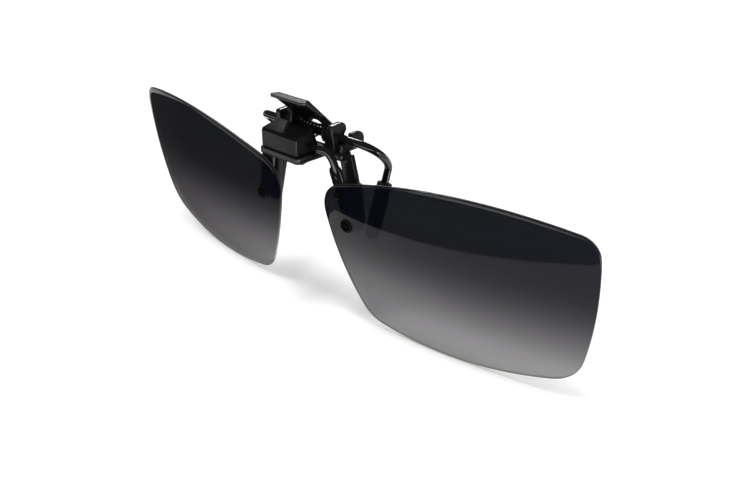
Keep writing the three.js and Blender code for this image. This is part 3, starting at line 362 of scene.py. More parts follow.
def grid_faces(rows, columns, closed=False):
    """Quads of a grid whose columns close on themselves, and whose rows also do if it is closed."""
    row, column = np.meshgrid(np.arange(rows if closed else rows - 1), np.arange(columns), indexing="ij")
    next_row, next_column = (row + 1) % rows, (column + 1) % columns
    quads = np.stack([row * columns + column, row * columns + next_column,
                      next_row * columns + next_column, next_row * columns + column], -1)
    return quads.reshape(-1, 4).tolist()


def closed_grid(rings, first_pole, last_pole):
    """A grid of rings, closed by a fan to a pole at each end."""
    rows, columns = rings.shape[:2]
    points = np.concatenate([rings.reshape(-1, 3), [first_pole, last_pole]])
    turn = np.arange(columns)
    after = (turn + 1) % columns
    first = np.stack([np.full(columns, rows * columns), after, turn], -1)
    base = (rows - 1) * columns
    last = np.stack([np.full(columns, rows * columns + 1), base + turn, base + after], -1)
    return outward(points, grid_faces(rows, columns) + first.tolist() + last.tolist())


def closed_ring(rings):
    """A grid that closes on itself both ways, as a tube's wall does."""
    return outward(rings.reshape(-1, 3), grid_faces(*rings.shape[:2], closed=True))


def volume(points, faces):
    """Signed volume: each face is a fan of triangles, and each triangle a tetrahedron to the origin."""
    total = 0.0
    for size in {len(face) for face in faces}:
        corners = points[np.array([face for face in faces if len(face) == size])]
        total += (corners[:, :1] * np.cross(corners[:, 1:-1], corners[:, 2:])).sum() / 6
    return total


def outward(points, faces):
    """The shell with its faces turned out."""
    points = np.asarray(points, float)
    if volume(points - points.mean(0), faces) < 0:
        faces = [face[::-1] for face in faces]
    return points, faces


def mirrored(shell):
    """The shell on the other side of the plane between the lenses."""
    points, faces = shell
    return points * (-1, 1, 1), [face[::-1] for face in faces]


def on_side(shells, sign):
    return shells if sign > 0 else [mirrored(shell) for shell in shells]


def unit(vectors):
    return vectors / np.linalg.norm(vectors, axis=-1, keepdims=True)


def bezier(a, b, c, d, share):
    """Cubic curve from a to d with handles b and c, at each share of the way."""
    t = np.reshape(share, (-1,) + (1,) * np.ndim(a))
    return (1 - t) ** 3 * a + 3 * (1 - t) ** 2 * t * b + 3 * (1 - t) * t ** 2 * c + t ** 3 * d


def rounded(corners, radii, steps=CORNER_STEPS):
    """A polygon whose corners are arcs. Each arc is the rational quadratic curve with the corner as its handle
    and the sine of half the corner's angle as its weight, which is exactly a circle's."""
    corners = np.asarray(corners, float)
    radii = np.broadcast_to(np.asarray(radii, float), len(corners))[:, None]
    before = unit(np.roll(corners, 1, 0) - corners)
    after = unit(np.roll(corners, -1, 0) - corners)
    half = np.arccos(np.clip((before * after).sum(1), -1, 1))[:, None] / 2
    reach = radii / np.tan(half)
    start, end, weight = corners + before * reach, corners + after * reach, np.sin(half)
    t = np.linspace(0, 1, steps)[:, None, None]
    shares = (1 - t) ** 2, 2 * weight * t * (1 - t), t ** 2
    arcs = (shares[0] * start + shares[1] * corners + shares[2] * end) / sum(shares)
    return arcs.transpose(1, 0, 2).reshape(-1, 2)


def arc(centre, radius, from_angle, to_angle, steps=2 * CORNER_STEPS):
    turn = np.linspace(from_angle, to_angle, steps)
    return np.asarray(centre) + radius * np.stack([np.cos(turn), np.sin(turn)], -1)


def disc(centre, radius, sides=ROUND_SIDES):
    return arc(centre, radius, 0, 2 * math.pi, sides + 1)[:-1]


def strip(line, width):
    """Outline of a flat strip of one width along a bent line, with mitred bends."""
    line = np.asarray(line, float)
    along = unit(np.diff(line, axis=0))
    normals = np.stack([-along[:, 1], along[:, 0]], -1)
    before, after = np.vstack([normals[:1], normals]), np.vstack([normals, normals[-1:]])
    miter = (before + after) / (1 + (before * after).sum(1, keepdims=True))
    return np.vstack([line - miter * width / 2, (line + miter * width / 2)[::-1]])


def counter_clockwise(outline):
    after = np.roll(outline, -1, 0)
    area = (outline[:, 0] * after[:, 1] - outline[:, 1] * after[:, 0]).sum()
    return outline if area > 0 else outline[::-1]


def inset_of(outline):
    """Vectors that move each point of an outline in by one, square to both of its edges."""
    after = unit(np.roll(outline, -1, 0) - outline)
    before = np.roll(after, 1, 0)
    left = lambda edge: np.stack([-edge[:, 1], edge[:, 0]], -1)
    total = left(before) + left(after)
    return total / (1 + (before * after).sum(1, keepdims=True))


def slab(outline, low, high, edge, holes=(), filling=None):
    """A plate between two heights. The outline, and each hole, carries a half-round edge: at each angle of the
    edge it moves in by the edge's radius less its cosine, and up by its sine. Points are a, b and height."""
    loops = [counter_clockwise(np.asarray(outline, float))]
    loops += [counter_clockwise(np.asarray(hole, float))[::-1] for hole in holes]
    turn = np.linspace(math.pi / 2, 0, EDGE_ARC)
    moved = edge * (1 - np.cos(turn))
    moved = np.concatenate([moved, moved[::-1]])
    height = np.concatenate([high - edge + edge * np.sin(turn), low + edge - edge * np.sin(turn[::-1])])
    points, faces, caps = [], [], []
    base = 0
    for loop in loops:
        plan = loop[None] + inset_of(loop)[None] * moved[:, None, None]
        rings = np.concatenate([plan, np.broadcast_to(height[:, None, None], plan.shape[:2] + (1,))], -1)
        points.append(rings.reshape(-1, 3))
        faces += (np.array(grid_faces(len(rings), len(loop))) + base).tolist()
        caps.append((base, base + (len(rings) - 1) * len(loop), len(loop)))
        base += rings.size // 3
    if len(loops) == 1 and filling is None:
        top, bottom, count = caps[0]
        faces += [list(range(top, top + count)), list(range(bottom, bottom + count))[::-1]]
        return outward(np.concatenate(points), faces)
    return filled(points, faces, caps, filling, low, high)


def filled(points, faces, caps, filling, low, high):
    """Closes a slab's two faces with triangles round its holes and through extra points inside them."""
    points = np.concatenate(points)
    extra = np.empty((0, 2)) if filling is None else np.asarray(filling, float)
    plan, edges, rim = [], [], []
    for top, _, count in caps:
        ring = np.arange(count) + sum(len(part) for part in plan)
        edges += np.stack([ring, np.roll(ring, -1)], -1).tolist()
        plan.append(points[top:top + count, :2])
    for level in (0, 1):
        rim.append(np.concatenate([np.arange(cap[2]) + cap[level] for cap in caps]))
    flat = np.concatenate(plan + [extra])
    found, _, triangles, origin, _, _ = delaunay_2d_cdt(flat.tolist(), edges, [], 5, 1e-9)
    source = np.array([where[0] for where in origin])
    triangles = np.array(triangles)
    for level, (height, order) in enumerate(((high, 1), (low, -1))):
        start = len(points)
        inside = np.column_stack([extra, np.full(len(extra), height)])
        points = np.concatenate([points, inside])
        index = np.concatenate([rim[level], np.arange(len(extra)) + start])
        faces += index[source[triangles]][:, ::order].tolist()
    return outward(points, faces)


def along_x(shell):
    """Reads a slab's a, b and height as y, z and x."""
    points, faces = shell
    return outward(points[:, [2, 0, 1]], faces)


def along_y(shell):
    """Reads a slab's a, b and height as x, z and y."""
    points, faces = shell
    return outward(points[:, [0, 2, 1]], faces)


def frames(path, back):
    """Tangent, side and back vectors along a path; back is turned square to the path."""
    along = unit(np.gradient(path, axis=0))
    back = np.broadcast_to(back, path.shape)
    back = unit(back - along * (back * along).sum(1, keepdims=True))
    return along, np.cross(along, back), back


def swept(path, back, half_width, half_depth, power=2.0, sides=ROUND_SIDES):
    """A section carried along a path. The section is a superellipse, whose half width, half depth and power may
    change on the way: power 2 is an ellipse, and a higher one is squarer."""
    along, side, back = frames(path, back)
    turn = np.linspace(0, 2 * math.pi, sides, endpoint=False)
    spread = lambda value: np.broadcast_to(np.asarray(value, float), len(path))[:, None]
    share = 2 / spread(power)
    curve = lambda wave: np.sign(wave) * np.abs(wave) ** share
    wide = spread(half_width) * curve(np.cos(turn)[None])
    deep = spread(half_depth) * curve(np.sin(turn)[None])
    rings = path[:, None] + side[:, None] * wide[..., None] + back[:, None] * deep[..., None]
    return closed_grid(rings, path[0], path[-1])


def turned(profile, base, axis, sides=ROUND_SIDES):
    """A profile of radius and height, turned round an axis. It ends on the axis, or closes on itself."""
    profile = np.asarray(profile, float)
    axis = unit(np.asarray(axis, float))
    helper = np.array([0, 0, 1.0]) if abs(axis[2]) < 0.9 else np.array([1.0, 0, 0])
    side = unit(np.cross(axis, helper))
    other = np.cross(axis, side)
    turn = np.linspace(0, 2 * math.pi, sides, endpoint=False)[None, :, None]
    ring = np.cos(turn) * side + np.sin(turn) * other
    on_axis = np.isclose(profile[:, 0], 0)
    place = lambda part: base + part[:, :1, None] * ring + part[:, 1:, None] * axis
    if not on_axis.any():
        return closed_ring(place(profile))
    ends = base + profile[[0, -1], 1:] * axis
    return closed_grid(place(profile[~on_axis]), ends[0], ends[1])


def dome(radius, height, base, steps=10):
    """Profile of a dome from its rim to its top: a quarter of an ellipse."""
    turn = np.linspace(0, math.pi / 2, steps)
    profile = np.stack([radius * np.cos(turn), base + height * np.sin(turn)], -1)
    profile[-1, 0] = 0
    return profile


# Shader expressions and finishes

class Value:
    """A shader socket that adds a Math node for each operator it meets."""

    def __init__(self, shader, socket):
        self.shader = shader
        self.socket = socket

    def _math(self, operation, first, second):
        return self.shader.node("ShaderNodeMath", {"operation": operation}, {0: first, 1: second}).out()

    def __add__(self, other):
        return self._math("ADD", self, other)

    def __radd__(self, other):
        return self._math("ADD", other, self)

    def __sub__(self, other):
        return self._math("SUBTRACT", self, other)

    def __rsub__(self, other):
        return self._math("SUBTRACT", other, self)

    def __mul__(self, other):
        return self._math("MULTIPLY", self, other)

    def __rmul__(self, other):
        return self._math("MULTIPLY", other, self)


class Node:
    """A shader node, whose outputs are read as values."""

    def __init__(self, shader, node):
        self.shader = shader
        self.node = node

    def out(self, name=0):
        return Value(self.shader, self.node.outputs[name])


class Shader:
    """A material's node tree."""

    def __init__(self, name):
        self.material = bpy.data.materials.new(name)
        self.material.use_nodes = True
        self.tree = self.material.node_tree
        self.tree.nodes.clear()

    def node(self, kind, settings=None, sockets=None):
        """Adds a node: its settings first, then the value or link of each socket."""
        made = self.tree.nodes.new(kind)
        for name, value in (settings or {}).items():
            setattr(made, name, value)
        for name, value in (sockets or {}).items():
            if isinstance(value, Value):
                self.tree.links.new(value.socket, made.inputs[name])
            else:
                made.inputs[name].default_value = value
        return Node(self, made)

    def output(self, surface):
        self.node("ShaderNodeOutputMaterial", None, {"Surface": surface})
        return self.material

    def place(self):
        return self.node("ShaderNodeTexCoord").out("Object")

    def noise(self, scale, detail=3.0, stretch=None):
        """Noise between 0 and 1 over the piece; stretch draws it out along an axis."""
        place = self.place()
        if stretch:
            place = self.node("ShaderNodeMapping", None, {"Vector": place, "Scale": stretch}).out()
        sockets = {"Vector": place, "Scale": scale, "Detail": detail}
        return self.node("ShaderNodeTexNoise", None, sockets).out("Fac")

    def bump(self, height, distance, strength=1.0):
        sockets = {"Height": height, "Distance": distance, "Strength": strength}
        return self.node("ShaderNodeBump", None, sockets).out()

    def principled(self, sockets):
        return self.output(self.node("ShaderNodeBsdfPrincipled", None, sockets).out())


def paint(rgb):
    return (*rgb, 1.0)


def mixed(shader, share, first, second):
    """A colour between two, by a share that changes over the surface."""
    settings = {"data_type": "RGBA"}
    sockets = {"Factor": share, 6: paint(first), 7: paint(second)}
    return shader.node("ShaderNodeMix", settings, sockets).out(2)


def brighter(rgb, factor):
    return tuple(min(1.0, part * factor) for part in rgb)


def lens_fade(shader, lens):
    """How dense the tint is: 0 at the bottom of a lens and 1 at the top."""
    height = shader.node("ShaderNodeSeparateXYZ", None, {"Vector": shader.place()}).out("Z")
    return shader.node("ShaderNodeMapRange", {"interpolation_type": "SMOOTHSTEP"}, {
        "Value": height, "From Min": lens.fade_bottom, "From Max": lens.fade_top}).out()


def lens_tint(lens):
    """Polished tinted sheet: each face passes little light at the top and more at the bottom, and less of
    either at a slant. The loss at a slant is partly the longer path through the tint and partly painted shade,
    which darkens a lens the more side-on it is seen, in place of a darker floor behind it."""
    shader = Shader("lens_tint")
    fade = lens_fade(shader, lens)
    # Painted shade: darkens a lens the more side-on it is seen, far beyond what its longer path would.
    away = shader.node("ShaderNodeLayerWeight", None, {"Blend": 0.5}).out("Facing")
    slant = shader.node("ShaderNodeMapRange", {"interpolation_type": "SMOOTHSTEP"}, {
        "Value": away, "From Min": lens.slant_shade_start, "From Max": 1.0,
        "To Min": 1.0, "To Max": lens.slant_shade_pass}).out()
    passed = slant * (lens.clear_pass - (lens.clear_pass - lens.dense_pass) * fade)
    return shader.principled({
        "Base Color": mixed(shader, fade, lens.low_tint, lens.top_tint), "Alpha": 1 - passed,
        "Roughness": 0.03, "IOR": 1.25})


def lens_edge(lens):
    """The sheet's edge, with a painted glow: it emits a pale yellow where the tint is weak and is dark where
    the tint is dense, in place of the light that leaves the edge after many turns inside."""
    shader = Shader("lens_edge")
    glow_tone = mixed(shader, lens_fade(shader, lens), lens.edge_glow_tint, brighter(lens.edge_glow_tint, 0.04))
    # Painted glow: the edge emits its own colour, though it is no lamp.
    return shader.principled({
        "Base Color": glow_tone, "Roughness": 0.4, "Specular IOR Level": 0.1,
        "Emission Color": glow_tone, "Emission Strength": 0.3})


# Black finishes: the colour they start from, the shares of it that a cloud mixes, the cloud's scale and detail,
# the roughness and what the cloud adds, the gloss, and the grain's scale, detail, depth and strength.
BLACKS = {
    "gloss_black": {  # lacquered wire, with a faint unevenness in its gloss
        "base": "gloss_black", "shades": (1.0, 1.8), "cloud": (450, 2.0), "rough": (0.06, 0.05), "gloss": 0.5,
        "grain": (1800, 2.0, 0.00001, 0.25)},
    "dull_black": {  # blackened steel of the screws and studs
        "base": "gloss_black", "shades": (0.4, 0.7), "cloud": (900, 2.0), "rough": (0.22, 0.1), "gloss": 0.02},
    "moulded_black": {  # the housing, with a fine even grain
        "base": "satin_black", "shades": (0.4, 0.7), "cloud": (320, 2.0), "rough": (0.2, 0.1), "gloss": 0.17,
        "grain": (6400, 3.0, 0.00002, 0.3)},
    "satin_black": {  # paint over stamped metal
        "base": "satin_black", "shades": (1.0, 1.6), "cloud": (260, 2.0), "rough": (0.17, 0.1), "gloss": 0.3,
        "grain": (5200, 3.0, 0.00002, 0.35)},
    "rubber": {  # smooth rubber, a little worn to grey
        "base": "rubber", "shades": (1.0, 2.0), "cloud": (380, 3.0), "rough": (0.42, 0.2), "gloss": 0.25,
        "grain": (3600, 2.0, 0.00002, 0.3)},
    "bush_plastic": {  # the bushes under the screw heads
        "base": "bush", "shades": (1.0, 1.5), "cloud": (900, 2.0), "rough": (0.35, 0), "gloss": 0.1},
}


def black(name, finish):
    """A black finish: a cloud varies its colour and roughness, and a grain breaks its highlight."""
    shader, look = Shader(name), BLACKS[name]
    base, cloud = getattr(finish, look["base"]), shader.noise(*look["cloud"])
    darker, lighter = (brighter(base, share) for share in look["shades"])
    rough, spread = look["rough"]
    sockets = {
        "Base Color": mixed(shader, cloud, darker, lighter),
        "Roughness": rough + spread * cloud if spread else rough, "Specular IOR Level": look["gloss"]}
    if "grain" in look:
        scale, detail, depth, strength = look["grain"]
        sockets["Normal"] = shader.bump(shader.noise(scale, detail), depth, strength)
    return shader.principled(sockets)


def spring_steel(finish):
    """Drawn spring steel: fine lines along the wire."""
    shader = Shader("spring_steel")
    lines = shader.noise(700, 2.0, (1.0, 6.0, 6.0))
    return shader.principled({
        "Base Color": mixed(shader, lines, brighter(finish.spring_steel, 0.6), finish.spring_steel),
        "Metallic": 1.0, "Roughness": 0.25 + 0.2 * lines})


FINISHES = {}


def finish_of(name, context):
    """A finish by name, made once."""
    if name not in FINISHES:
        lens, finish = context.scene.clip_lens, context.scene.clip_finish
        if name in BLACKS:
            FINISHES[name] = black(name, finish)
        else:
            make, settings = {
                "lens_tint": (lens_tint, lens), "lens_edge": (lens_edge, lens),
                "spring_steel": (spring_steel, finish)}[name]
            FINISHES[name] = make(settings)
    return FINISHES[name]


def add_piece(context, name, shells, body, nodes, finishes, sharp=40, face_finish=None):
    """Joins shells into one object that stands for CAD nodes and rides on a body, if one is named."""
    starts = np.cumsum([0] + [len(points) for points, _ in shells[:-1]])
    points = np.concatenate([points for points, _ in shells])
    faces = [[corner + int(start) for corner in face]
             for start, (_, part) in zip(starts, shells) for face in part]
    mesh = bpy.data.meshes.new(name)
    mesh.from_pydata(points.tolist(), [], faces)
    for finish in finishes:
        mesh.materials.append(finish_of(finish, context))
    if face_finish is not None:
        mesh.polygons.foreach_set("material_index", np.asarray(face_finish, np.int32))
    mesh.shade_smooth()
    mesh.set_sharp_from_angle(angle=math.radians(sharp))
    mesh.update()
    if mesh.validate():
        raise RuntimeError(f"{name} has faces that do not hold together")
    made = bpy.data.objects.new(name, mesh)
    context.scene.collection.objects.link(made)
    if body:
        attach(made, body)
    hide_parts(*nodes)
    return made


# Lens geometry

LENS_EDGE_STEPS = 40
LENS_RINGS = 24
HEAD_RINGS = 26


def lens_outline(lens):
    """Four edges, each a parabola on its chord, joined by round corners drawn as cubic curves. It runs
    clockwise from the inner top corner."""
    corner = np.array([
        [0, 0], [lens.width, lens.top_rise],
        [lens.width - lens.outer_inset, -lens.outer_drop], [lens.inner_inset, -lens.inner_drop]])
    bulge = np.array([lens.top_bulge, lens.outer_bulge, lens.bottom_bulge, lens.inner_bulge])[:, None]
    radius = np.array([lens.inner_top_radius, lens.outer_top_radius,
                       lens.outer_bottom_radius, lens.inner_bottom_radius])
    chord = np.roll(corner, -1, 0) - corner
    span = np.linalg.norm(chord, axis=1)[:, None]
    along = chord / span
    out = np.stack([-along[:, 1], along[:, 0]], -1)
    bend = np.arccos((np.roll(along, 1, 0) * along).sum(1))
    trim = (radius * np.tan(bend / 2))[:, None]

    def on_edge(distance):
        share = distance / span
        height = 4 * bulge * share * (1 - share)
        return corner[:, None] + along[:, None] * distance[..., None] + out[:, None] * height[..., None]

    def heading(distance):
        rise = 4 * bulge * (1 - 2 * distance / span) / span
        return unit(along[:, None] + out[:, None] * rise[..., None])[:, 0]

    start, end = trim, span - np.roll(trim, -1, 0)
    edges = on_edge(start + (end - start) * np.linspace(0, 1, LENS_EDGE_STEPS, endpoint=False))
    before, leaving = on_edge(end)[:, 0], heading(end)
    after, arriving = np.roll(on_edge(start)[:, 0], -1, 0), np.roll(heading(start), -1, 0)
    swing = np.arccos((leaving * arriving).sum(1))
    gap = np.linalg.norm(after - before, axis=1)
    handle = (gap / (2 * np.sin(swing / 2)) * 4 / 3 * np.tan(swing / 4))[:, None]
    corners = bezier(before, before + leaving * handle, after - arriving * handle, after,
                     np.linspace(0, 1, CORNER_STEPS, endpoint=False))
    return np.concatenate([edges, corners.transpose(1, 0, 2)], 1).reshape(-1, 2)


def lens_turn(lens):
    """Rotation of the right lens: its wrap about Z, then its tilt about X."""
    turn = Matrix.Rotation(lens.tilt, 3, "X") @ Matrix.Rotation(lens.wrap, 3, "Z")
    return np.array(turn)


def lens_front(lens, across, up):
    """Direction that the front of the right lens faces, in the frame."""
    u = (np.asarray(across) - lens.pole_across) / lens.curve_radius
    v = (np.asarray(up) + lens.pole_drop) / lens.curve_radius
    front = unit(np.stack([np.sin(u), -np.cos(u), v * np.cos(u)], -1))
    return front @ lens_turn(lens).T


def lens_point(lens, across, up, offset=0.0):
    """Point of the right lens in the frame. The sheet bends as a circle across and as a parabola up, and offset
    moves the point along the direction that the front faces."""
    u = (np.asarray(across) - lens.pole_across) / lens.curve_radius
    v = (np.asarray(up) + lens.pole_drop) / lens.curve_radius
    sheet = np.stack([np.sin(u), 1 - np.cos(u) + v * v / 2, v], -1) * lens.curve_radius
    pole = np.array([lens.bridge_gap / 2 + lens.pole_across,
                     FLIP_AXLE[1] + lens.setback, FLIP_AXLE[2] - lens.drop])
    shift = np.asarray(offset, float)[..., None]
    return sheet @ lens_turn(lens).T + pole + lens_front(lens, across, up) * shift


def lens_shell(lens):
    """Rings of the outline drawn in towards the pole on both faces, and a rounded edge between the faces. The
    second result tells which faces belong to the edge."""
    outline = lens_outline(lens)
    inward = -inset_of(outline)
    pole = np.array([lens.pole_across, -lens.pole_drop])
    half, edge = lens.thickness / 2, lens.edge_round
    rim = outline + inward * edge
    shares = np.linspace(1 / LENS_RINGS, 1, LENS_RINGS)
    face = pole + (rim[None] - pole) * shares[:, None, None]
    bend = np.linspace(math.pi / 2, 0, EDGE_ARC)[1:]
    shoulder = outline[None] + inward[None] * (edge * (1 - np.cos(bend)))[:, None, None]
    plan = np.concatenate([face, shoulder, shoulder[::-1], face[::-1]])
    rise = np.concatenate([np.full(LENS_RINGS, half), half - edge + edge * np.sin(bend)])
    offset = np.concatenate([rise, -rise[::-1]])[:, None]
    rings = lens_point(lens, plan[..., 0], plan[..., 1], np.broadcast_to(offset, plan.shape[:2]))
    ends = lens_point(lens, np.full(2, pole[0]), np.full(2, pole[1]), np.array([half, -half]))
    shell = closed_grid(rings, ends[0], ends[1])
    row = np.arange(len(rings) - 1)
    on_edge = row == LENS_RINGS + len(bend) - 1
    kinds = np.concatenate([np.repeat(on_edge, len(outline)), np.zeros(2 * len(outline), bool)])
    return shell, kinds.astype(int)


class CLIPON_OT_lenses(bpy.types.Operator):
    """Make both lenses as bent sheets with a polished edge"""
    bl_idname = "clip_on.lenses"
    bl_label = "Lenses"

    def execute(self, context):
        lens = context.scene.clip_lens
        shell, kinds = lens_shell(lens)
        for side, sign in SIDES.items():
            add_piece(context, f"{side}_lens_sheet", on_side([shell], sign), "lens_carrier",
                      [f"{side}_lens"], ["lens_tint", "lens_edge"], sharp=60, face_finish=kinds)
        return {"FINISHED"}


def crossed_head(head, height, cross, depth, base, front):
    """A domed head with a driver's cross: the dome's height drops by the depth where either arm of the cross
    passes, and the drop fades out over a short way and towards the rim."""
    radius, skirt, soft = head / 2, 0.02 * MM, cross / 5
    cross_end, cross_fade = 0.72, 0.12
    share = np.linspace(0.02, 1, HEAD_RINGS)[:, None]
    turn = np.linspace(0, 2 * math.pi, 2 * ROUND_SIDES, endpoint=False)[None]
    x, y = share * radius * np.cos(turn), share * radius * np.sin(turn)
    arm = lambda off: 1 - 1 / (1 + np.exp((cross / 2 - np.abs(off)) / soft))
    drop = depth * np.clip(arm(x) + arm(y), 0, 1) * np.clip((cross_end - share) / cross_fade, 0, 1)
    rise = height * np.sqrt(np.clip(1 - share ** 2, 0, 1)) - drop
    front = unit(front)
    side = unit(np.cross(front, [0, 0, 1.0]))
    other = np.cross(front, side)
    top = base + side * x[..., None] + other * y[..., None] + front * rise[..., None]
    rim = top[-1:] - front * skirt
    return closed_grid(np.concatenate([top, rim]), base + front * (height - depth), base - front * skirt)


class CLIPON_OT_fixings(bpy.types.Operator):
    """Make the screws, bushes and studs that hold the lenses"""
    bl_idname = "clip_on.fixings"
    bl_label = "Lens fixings"

    def execute(self, context):
        lens, fixing, yoke = context.scene.clip_lens, context.scene.clip_fixing, context.scene.clip_yoke
        face = lens.thickness / 2 + lens.seat_gap
        blade_rear = -(face + yoke.blade_thickness)
        screw_base = lens_point(lens, fixing.screw_across, -fixing.screw_drop)
        screw_front = lens_front(lens, fixing.screw_across, -fixing.screw_drop)
        stud_base = lens_point(lens, fixing.stud_across, -fixing.stud_drop)
        stud_front = lens_front(lens, fixing.stud_across, -fixing.stud_drop)
        seat = face + fixing.bush_height
        shank = fixing.screw_shank / 2
        flange = fixing.bush_flange / 2
        rounding = fixing.bush_height / 2
        screw = [
            crossed_head(fixing.screw_head, fixing.screw_height, fixing.screw_slot, fixing.screw_slot_depth,
                         screw_base + screw_front * seat, screw_front),
            turned([[0, seat], [shank, seat], *(dome(shank, -fixing.peen_height, blade_rear))],
                   screw_base, screw_front),
        ]
        bore, barrel, rear = shank * 1.05, shank * 1.4, -lens.thickness / 2
        bush = [turned([
            [bore, rear], [barrel, rear], [barrel, face], [flange - rounding, face],
            [flange, face + rounding], [flange - rounding, seat], [bore, seat],
        ], screw_base, screw_front)]
        pin = fixing.stud_shank / 2
        stud = [turned([
            *dome(pin, -fixing.peen_height, blade_rear)[::-1], [pin, face],
            *dome(fixing.stud_head / 2, fixing.stud_height, face)], stud_base, stud_front)]
        for side, sign in SIDES.items():
            add_piece(context, f"{side}_screw", on_side(screw, sign), "lens_carrier",
                      [f"{side}_lens_screw"], ["dull_black"])
            add_piece(context, f"{side}_bush", on_side(bush, sign), "lens_carrier",
                      [f"{side}_lens_bush"], ["bush_plastic"])
            add_piece(context, f"{side}_stud", on_side(stud, sign), "lens_carrier",
                      [f"{side}_lens_stud"], ["dull_black"])
        return {"FINISHED"}


def blade_frame(lens, fixing, yoke):
    """Stud's place in the middle of the right blade, and the blade's across, down and back directions."""
    middle = -(lens.thickness / 2 + lens.seat_gap + yoke.blade_thickness / 2)
    screw = lens_point(lens, fixing.screw_across, -fixing.screw_drop, middle)
    stud = lens_point(lens, fixing.stud_across, -fixing.stud_drop, middle)
    down = unit(screw - stud)
    back = -lens_front(lens, (fixing.screw_across + fixing.stud_across) / 2,
                       -(fixing.screw_drop + fixing.stud_drop) / 2)
    back = unit(back - down * (back @ down))
    return stud, np.linalg.norm(screw - stud), np.stack([np.cross(back, down), down, back])


def yoke_blade(lens, fixing, yoke):
    """The right blade: a rounded plate that narrows to its top."""
    stud, run, axes = blade_frame(lens, fixing, yoke)
    half, top = yoke.blade_width / 2, yoke.blade_top_width / 2
    end, taper = run + yoke.end_round, yoke.blade_taper - yoke.blade_top
    outline = rounded([
        [-top, -yoke.blade_top], [top, -yoke.blade_top], [half, taper],
        [half, end], [-half, end], [-half, taper],
    ], [0.8 * top, 0.8 * top, top / 2, yoke.end_round, yoke.end_round, top / 2])
    flat = yoke.blade_thickness / 2
    points, faces = slab(outline, -flat, flat, yoke.blade_edge)
    return outward(stud + points @ axes, faces)


def yoke_wire(lens, fixing, yoke):
    """Right half of the wire: a path from the middle of the axle, round the bend and down the blade, and its
    radius on the way, which closes as a quarter of an ellipse on the blade."""
    stud, _, (_, down, back) = blade_frame(lens, fixing, yoke)
    bend = FLIP_AXLE + (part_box("hinge_housing")[1].x + yoke.shoulder, 0, 0)
    foot = stud - down * yoke.land + back * yoke.proud
    axle = np.linspace(FLIP_AXLE, bend, 30)
    curve = bezier(bend, bend + (yoke.upper_bend, 0, 0), foot - down * yoke.lower_bend, foot,
                   np.linspace(0, 1, 60)[1:])
    turn = np.linspace(0, math.pi / 2, 30)[1:]
    drift = 0.15 * yoke.lap
    lap = foot + down * (yoke.lap * np.sin(turn))[:, None] + back * (drift * (1 - np.cos(turn)))[:, None]
    radius = np.full(len(axle) + len(curve) + len(lap), yoke.diameter / 2)
    radius[-len(lap):] *= np.sqrt(np.clip(np.cos(turn), 0.04, 1))
    return np.vstack([axle, curve, lap]), radius


class CLIPON_OT_yoke(bpy.types.Operator):
    """Make the yoke: one wire through the housing, with a blade behind each lens"""
    bl_idname = "clip_on.yoke"
    bl_label = "Yoke"

    def execute(self, context):
        scene = context.scene
        settings = scene.clip_lens, scene.clip_fixing, scene.clip_yoke
        path, radius = yoke_wire(*settings)
        path = np.concatenate([path[:0:-1] * (-1, 1, 1), path])
        radius = np.concatenate([radius[:0:-1], radius])
        blade = yoke_blade(*settings)
        wire = swept(path, np.array([0, 1.0, 0]), radius, radius)
        add_piece(context, "yoke", [wire, blade, mirrored(blade)], "lens_carrier", ["lens_yoke"],
                  ["gloss_black"])
        return {"FINISHED"}


class CLIPON_OT_housing(bpy.types.Operator):
    """Make the hinge housing as a block with rounded corners and edges"""
    bl_idname = "clip_on.housing"
    bl_label = "Hinge housing"

    def execute(self, context):
        housing = context.scene.clip_housing
        low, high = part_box("hinge_housing")
        axle_y, axle_z = FLIP_AXLE[1:]
        front_top = axle_z + housing.front_height
        side = rounded([
            [low.y, low.z], [high.y, low.z],
            [axle_y + housing.top_rear, axle_z + housing.rear_step], [axle_y + housing.top_rear, high.z],
            [low.y + housing.chamfer_depth, front_top + housing.chamfer_height], [low.y, front_top],
        ], housing.corner * np.array([1, 1, 1, 1, 0.5, 0.5]))
        add_piece(context, "housing_block", [along_x(slab(side, low.x, high.x, housing.edge))], "clip_base",
                  ["hinge_housing"], ["moulded_black"], sharp=30)
        return {"FINISHED"}


